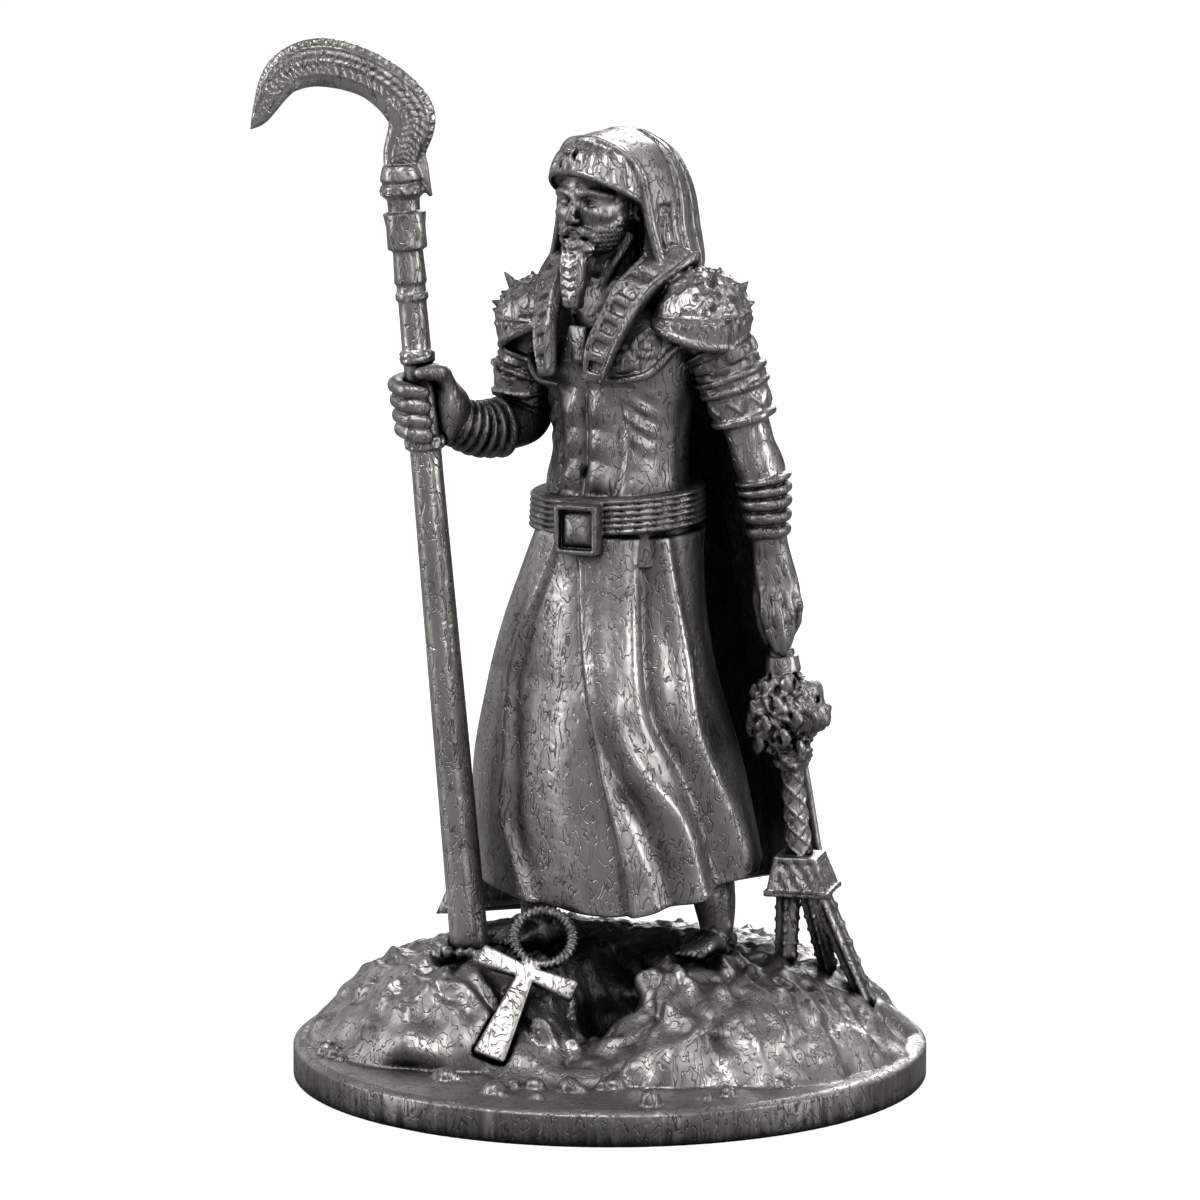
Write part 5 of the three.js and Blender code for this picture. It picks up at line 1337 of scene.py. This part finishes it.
def leg(ankle, toe, top, sole):
    """A lower leg with its calf and ankle bones, and a bare foot with five toes."""
    ankle, toe = np.array(ankle), np.array(toe)
    clay = Clay()
    knee = [top, (*mixed(ankle, top[:2], 0.4), 18.5), (*ankle, 14.2), (*ankle, sole + 0.4)]
    clay.add(Limb(knee, track([(0, (2.2, 2.2)), (0.5, (1.85, 1.9)), (0.8, (1.4, 1.45)), (1, (1.5, 1.6))])))
    line = [(ankle[0], ankle[1] + 1.3, sole + 0.8), (*mixed(ankle, toe, 0.45), sole + 0.95), (*toe, sole + 0.6)]
    clay.add(Limb(line, track([(0, (1.0, 0.85)), (0.4, (1.3, 1.1)), (0.8, (1.5, 0.7)), (1, (1.1, 0.4))]), power=2.5), blend=0.4)
    for side in (-1, 1):
        clay.add(Egg((ankle[0] + 1.25 * side, ankle[1], 13.6), (0.4, 0.5, 0.5)), blend=0.3)
    for place in range(5):
        across = -1.1 + 0.55 * place
        clay.add(Egg((toe[0] + across, toe[1] - 0.35 + 0.1 * place, sole + 0.4), (0.27, 0.6, 0.3)), blend=0.12)
    return clay


def body():
    clay = Clay()
    clay.add(Torso())
    clay.press(scrolls, (-8, -6, 61.5), (9, 0, 66.5))
    clay.add(chest_edge(), blend=0.2)
    clay.add(head(), blend=0.15)
    for side in (-1, 1):
        clay.add(lappet(side), blend=0.05)
    clay.add(pendant(), blend=0.05)
    clay.add(arm(LEFT_ARM, LEFT_SLEEVES, 0.7, 0.97, 5, 0.5, (0.77, 0.64, 0), 0.4), blend=0.35)
    clay.add(arm(RIGHT_ARM, RIGHT_SLEEVES, 0.64, 0.93, 6, 0.55, (1, 0, 0), 1.9), blend=0.35)
    for plate in SHOULDERS:
        clay.add(shoulder_plate(**plate), blend=0.06)
    clay.add(left_hand(), blend=0.3)
    clay.add(right_fist(), blend=0.3)
    clay.add(belt())
    for place in FEET:
        clay.add(leg(**place))
    clay.cut(Turned(STAFF["foot"], STAFF["root"], [(share, radius + FIT) for share, radius in STAFF_PROFILE]))
    clay.cut(Turned(flail_at(42.3), flail_at(36.2), [(0, FLAIL["rod"] + FIT), (1, FLAIL["rod"] + FIT)]))
    return clay


# Materials
def metal(name, tone, polish, grain, seed):
    """Antiqued cast metal: bright where it is rubbed, dark patina in the hollows and painted shade in deep places under
    and between parts, with a fine cast grain.
    """
    made = bpy.data.materials.new(name)
    made.use_nodes = True
    nodes, links = made.node_tree.nodes, made.node_tree.links
    shader = nodes["Principled BSDF"]
    shader.inputs["Metallic"].default_value = 1.0

    def add(kind, **inputs):
        node = nodes.new(kind)
        for key, value in inputs.items():
            node.inputs[key].default_value = value
        return node

    def math_node(operation, first, second, clamp=False):
        node = nodes.new("ShaderNodeMath")
        node.operation = operation
        node.use_clamp = clamp
        for socket, value in zip(node.inputs, (first, second)):
            if isinstance(value, (int, float)):
                socket.default_value = value
            else:
                links.new(value, socket)
        return node.outputs[0]

    def ranged(value, low, high, out_low=0.0, out_high=1.0):
        node = nodes.new("ShaderNodeMapRange")
        links.new(value, node.inputs["Value"])
        for key, number in zip(("From Min", "From Max", "To Min", "To Max"), (low, high, out_low, out_high)):
            node.inputs[key].default_value = number
        return node.outputs["Result"]

    place = nodes.new("ShaderNodeTexCoord").outputs["Object"]

    def openness(reach):
        node = nodes.new("ShaderNodeAmbientOcclusion")
        node.samples = 8
        node.inputs["Distance"].default_value = reach * MM
        return node.outputs["AO"]

    def stretched(scale):
        node = nodes.new("ShaderNodeMapping")
        node.inputs["Scale"].default_value = scale
        links.new(place, node.inputs["Vector"])
        return node.outputs["Vector"]

    def lines(texture, half):
        away = math_node("ABSOLUTE", math_node("SUBTRACT", texture.outputs["Fac"], 0.5), 0.0)
        return ranged(away, 0.0, half)

    edges = nodes.new("ShaderNodeNewGeometry").outputs["Pointiness"]
    creases = ranged(openness(1.1), 0.35, 0.95)
    # painted shade: the colour darkens wherever the skin is closed in within 14 mm, as under the hood, the arms and
    # inside the cape
    painted_depth_shade = ranged(openness(14.0), 0.05, 0.8, 0.12, 1.0)
    raised = ranged(edges, 0.42, 0.58, 0.45, 1.0)

    strokes = add("ShaderNodeTexNoise", Scale=grain * 900, Detail=1.0, Roughness=0.5, Distortion=1.6)
    links.new(stretched((1.0, 1.0, 0.42)), strokes.inputs["Vector"])
    pits = add("ShaderNodeTexVoronoi", Scale=grain * 1100)
    stains = add("ShaderNodeTexNoise", Scale=150.0, Detail=5.0, Roughness=0.62)
    cast_skin = add("ShaderNodeTexNoise", Scale=330.0, Detail=3.0, Roughness=0.6)
    for texture in (pits, stains, cast_skin):
        links.new(place, texture.inputs["Vector"])
    stroke_lines = lines(strokes, 0.035)
    pit_holes = ranged(pits.outputs["Distance"], 0.08, 0.3)
    patches = ranged(stains.outputs["Fac"], 0.36, 0.62)

    # base colour and roughness follow the crease patina, rubbed edges, stains and cast strokes, together with the
    # painted shade of deep places
    patina_wear_and_painted_shade = math_node("MULTIPLY", creases, raised)
    patina_wear_and_painted_shade = math_node("MULTIPLY", patina_wear_and_painted_shade, painted_depth_shade)
    patina_wear_and_painted_shade = math_node("MULTIPLY", patina_wear_and_painted_shade, ranged(patches, 0.0, 1.0, 0.7, 1.0))
    patina_wear_and_painted_shade = math_node("MULTIPLY", patina_wear_and_painted_shade, ranged(stroke_lines, 0.0, 1.0, 0.6, 1.0), clamp=True)
    ramp = nodes.new("ShaderNodeValToRGB")
    colours = ((0.0, 0.006), (0.22, 0.045 * tone), (0.5, 0.24 * tone), (0.85, 0.62 * tone), (1.0, 0.86 * tone))
    ramp.color_ramp.elements.remove(ramp.color_ramp.elements[1])
    for k, (spot, level) in enumerate(colours):
        element = ramp.color_ramp.elements[0] if k == 0 else ramp.color_ramp.elements.new(spot)
        element.position = spot
        element.color = (level, level * 0.975, level * 0.93, 1)
    links.new(patina_wear_and_painted_shade, ramp.inputs["Fac"])
    links.new(ramp.outputs["Color"], shader.inputs["Base Color"])
    rough = math_node("ADD", ranged(patina_wear_and_painted_shade, 0.0, 1.0, 0.5, polish), ranged(patches, 0.0, 1.0, 0.06, -0.03), clamp=True)
    links.new(rough, shader.inputs["Roughness"])

    height = math_node("ADD", math_node("MULTIPLY", stroke_lines, 0.5), math_node("MULTIPLY", pit_holes, 0.22))
    height = math_node("ADD", height, math_node("MULTIPLY", cast_skin.outputs["Fac"], 1.6))
    bump = add("ShaderNodeBump", Strength=0.8, Distance=0.11 * MM)
    links.new(height, bump.inputs["Height"])
    links.new(bump.outputs["Normal"], shader.inputs["Normal"])
    return made


# The pieces
def dress(piece, node, material):
    piece.data.materials.clear()
    piece.data.materials.append(material)
    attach(piece, "root")
    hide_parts(node)


def modelled(name, clay, cell, most):
    return thinned(mesh_of(name, *cast(clay, cell * (1))), most)


def build():
    figure = merged("figure_cast", [modelled("body", body(), 0.13, 120000), skirt(), cape()])
    dress(figure, "figure", metal("figure metal", 1.0, 0.3, 1.0, 1))
    dress(modelled("staff_cast", staff(), 0.12, 60000), "staff", metal("staff metal", 1.08, 0.24, 1.0, 2))
    dress(modelled("flail_cast", flail(), 0.12, 90000), "flail", metal("flail metal", 0.95, 0.32, 1.0, 3))
    dress(modelled("ankh_cast", ankh(), 0.1, 30000), "ankh", metal("ankh metal", 1.0, 0.34, 1.0, 4))
    dress(modelled("plinth_cast", base(), 0.2, 190000), "base", metal("base metal", 0.9, 0.34, 1.0, 5))


# Floor, light and camera
FLOOR = {"side": 3.0, "grey": 0.25, "glow": 0.88}


def pale_floor():
    """A plain floor, pale to the camera and a quiet grey in the metal's reflections."""
    mesh = bpy.data.meshes.new("floor")
    side = FLOOR["side"]
    mesh.from_pydata([(-side, -side, 0), (side, -side, 0), (side, side, 0), (-side, side, 0)], [], [(0, 1, 2, 3)])
    made = bpy.data.objects.new("floor", mesh)
    bpy.context.scene.collection.objects.link(made)

    finish = bpy.data.materials.new("floor")
    finish.use_nodes = True
    nodes, links = finish.node_tree.nodes, finish.node_tree.links
    shader = nodes["Principled BSDF"]
    shader.inputs["Base Color"].default_value = (FLOOR["grey"], FLOOR["grey"], FLOOR["grey"], 1)
    shader.inputs["Roughness"].default_value = 0.9
    shader.inputs["Specular IOR Level"].default_value = 0.1
    shader.inputs["Emission Color"].default_value = (1, 1, 1, 1)
    glow = nodes.new("ShaderNodeMath")
    glow.operation = "MULTIPLY"
    glow.inputs[1].default_value = FLOOR["glow"]
    links.new(nodes.new("ShaderNodeLightPath").outputs["Is Camera Ray"], glow.inputs[0])
    links.new(glow.outputs[0], shader.inputs["Emission Strength"])
    mesh.materials.append(finish)


def light(name, place, target, size, power):
    lamp = bpy.data.lights.new(name, "AREA")
    lamp.shape = "RECTANGLE"
    lamp.size, lamp.size_y = size
    lamp.energy = power
    made = bpy.data.objects.new(name, lamp)
    made.location = place
    made.rotation_euler = (Vector(target) - Vector(place)).to_track_quat("-Z", "Y").to_euler()
    bpy.context.scene.collection.objects.link(made)


def studio():
    """A pale floor, and dark surroundings with soft upright light cards that are white to the camera."""
    bpy.context.scene.view_settings.view_transform = "Standard"
    pale_floor()
    world = bpy.data.worlds.new("studio")
    world.use_nodes = True
    nodes, links = world.node_tree.nodes, world.node_tree.links
    way = nodes.new("ShaderNodeTexCoord").outputs["Generated"]
    upright = nodes.new("ShaderNodeMapping")
    upright.inputs["Scale"].default_value = (1.0, 1.0, 0.45)
    links.new(way, upright.inputs["Vector"])
    waves = nodes.new("ShaderNodeTexNoise")
    waves.inputs["Scale"].default_value = 2.3
    waves.inputs["Detail"].default_value = 1.0
    links.new(upright.outputs["Vector"], waves.inputs["Vector"])
    cards = nodes.new("ShaderNodeValToRGB")
    cards.color_ramp.elements[0].position = 0.5
    cards.color_ramp.elements[0].color = (0.03, 0.03, 0.03, 1)
    cards.color_ramp.elements[1].position = 0.62
    cards.color_ramp.elements[1].color = (1.1, 1.1, 1.1, 1)
    links.new(waves.outputs["Fac"], cards.inputs["Fac"])
    seen = nodes.new("ShaderNodeLightPath").outputs["Is Camera Ray"]
    pick = nodes.new("ShaderNodeMix")
    pick.data_type = "RGBA"
    links.new(seen, pick.inputs["Factor"])
    links.new(cards.outputs["Color"], pick.inputs["A"])
    pick.inputs["B"].default_value = (1, 1, 1, 1)
    links.new(pick.outputs["Result"], nodes["Background"].inputs["Color"])
    nodes["Background"].inputs["Strength"].default_value = 1.0
    bpy.context.scene.world = world

    def softbox(name, azimuth, elevation, size, power, aim=0.045):
        turn, rise, away = math.radians(azimuth), math.radians(elevation), 0.55
        flat = away * math.cos(rise)
        light(name, (flat * math.sin(turn), -flat * math.cos(turn), aim + away * math.sin(rise)), (0, 0, aim), size, power)

    softbox("left strip", -42, 12, (0.1, 0.55), 1.5)
    softbox("right strip", 112, 14, (0.12, 0.55), 1.7)
    softbox("upper front", 20, 58, (0.3, 0.16), 1.3)
    softbox("low front", 62, 12, (0.1, 0.2), 0.35, aim=0.02)
    softbox("rim", 205, 30, (0.25, 0.4), 2.0)


def camera():
    azimuth, elevation, away = math.radians(40), math.radians(10.137), 0.7
    lens = bpy.data.cameras.new("camera")
    lens.sensor_width = 36
    lens.lens = 36 * away * 1000 * 11.626 / 1200
    lens.shift_x = (600 - 609.83) / 1200
    lens.shift_y = -(600 - 560.95) / 1200
    made = bpy.data.objects.new("camera", lens)
    way = Vector((math.sin(azimuth) * math.cos(elevation), -math.cos(azimuth) * math.cos(elevation), math.sin(elevation)))
    aim = Vector((0, 0, 0.045))
    made.location = aim + way * away
    made.rotation_euler = (-way).to_track_quat("-Z", "Y").to_euler()
    bpy.context.scene.collection.objects.link(made)
    bpy.context.scene.camera = made


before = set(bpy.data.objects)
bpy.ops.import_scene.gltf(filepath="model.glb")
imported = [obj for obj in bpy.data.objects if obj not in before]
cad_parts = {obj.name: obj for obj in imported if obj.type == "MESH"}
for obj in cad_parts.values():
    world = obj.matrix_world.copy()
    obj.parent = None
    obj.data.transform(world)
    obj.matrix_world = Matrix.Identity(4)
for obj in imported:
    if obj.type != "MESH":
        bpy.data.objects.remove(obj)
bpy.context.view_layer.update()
camera()
studio()
build()
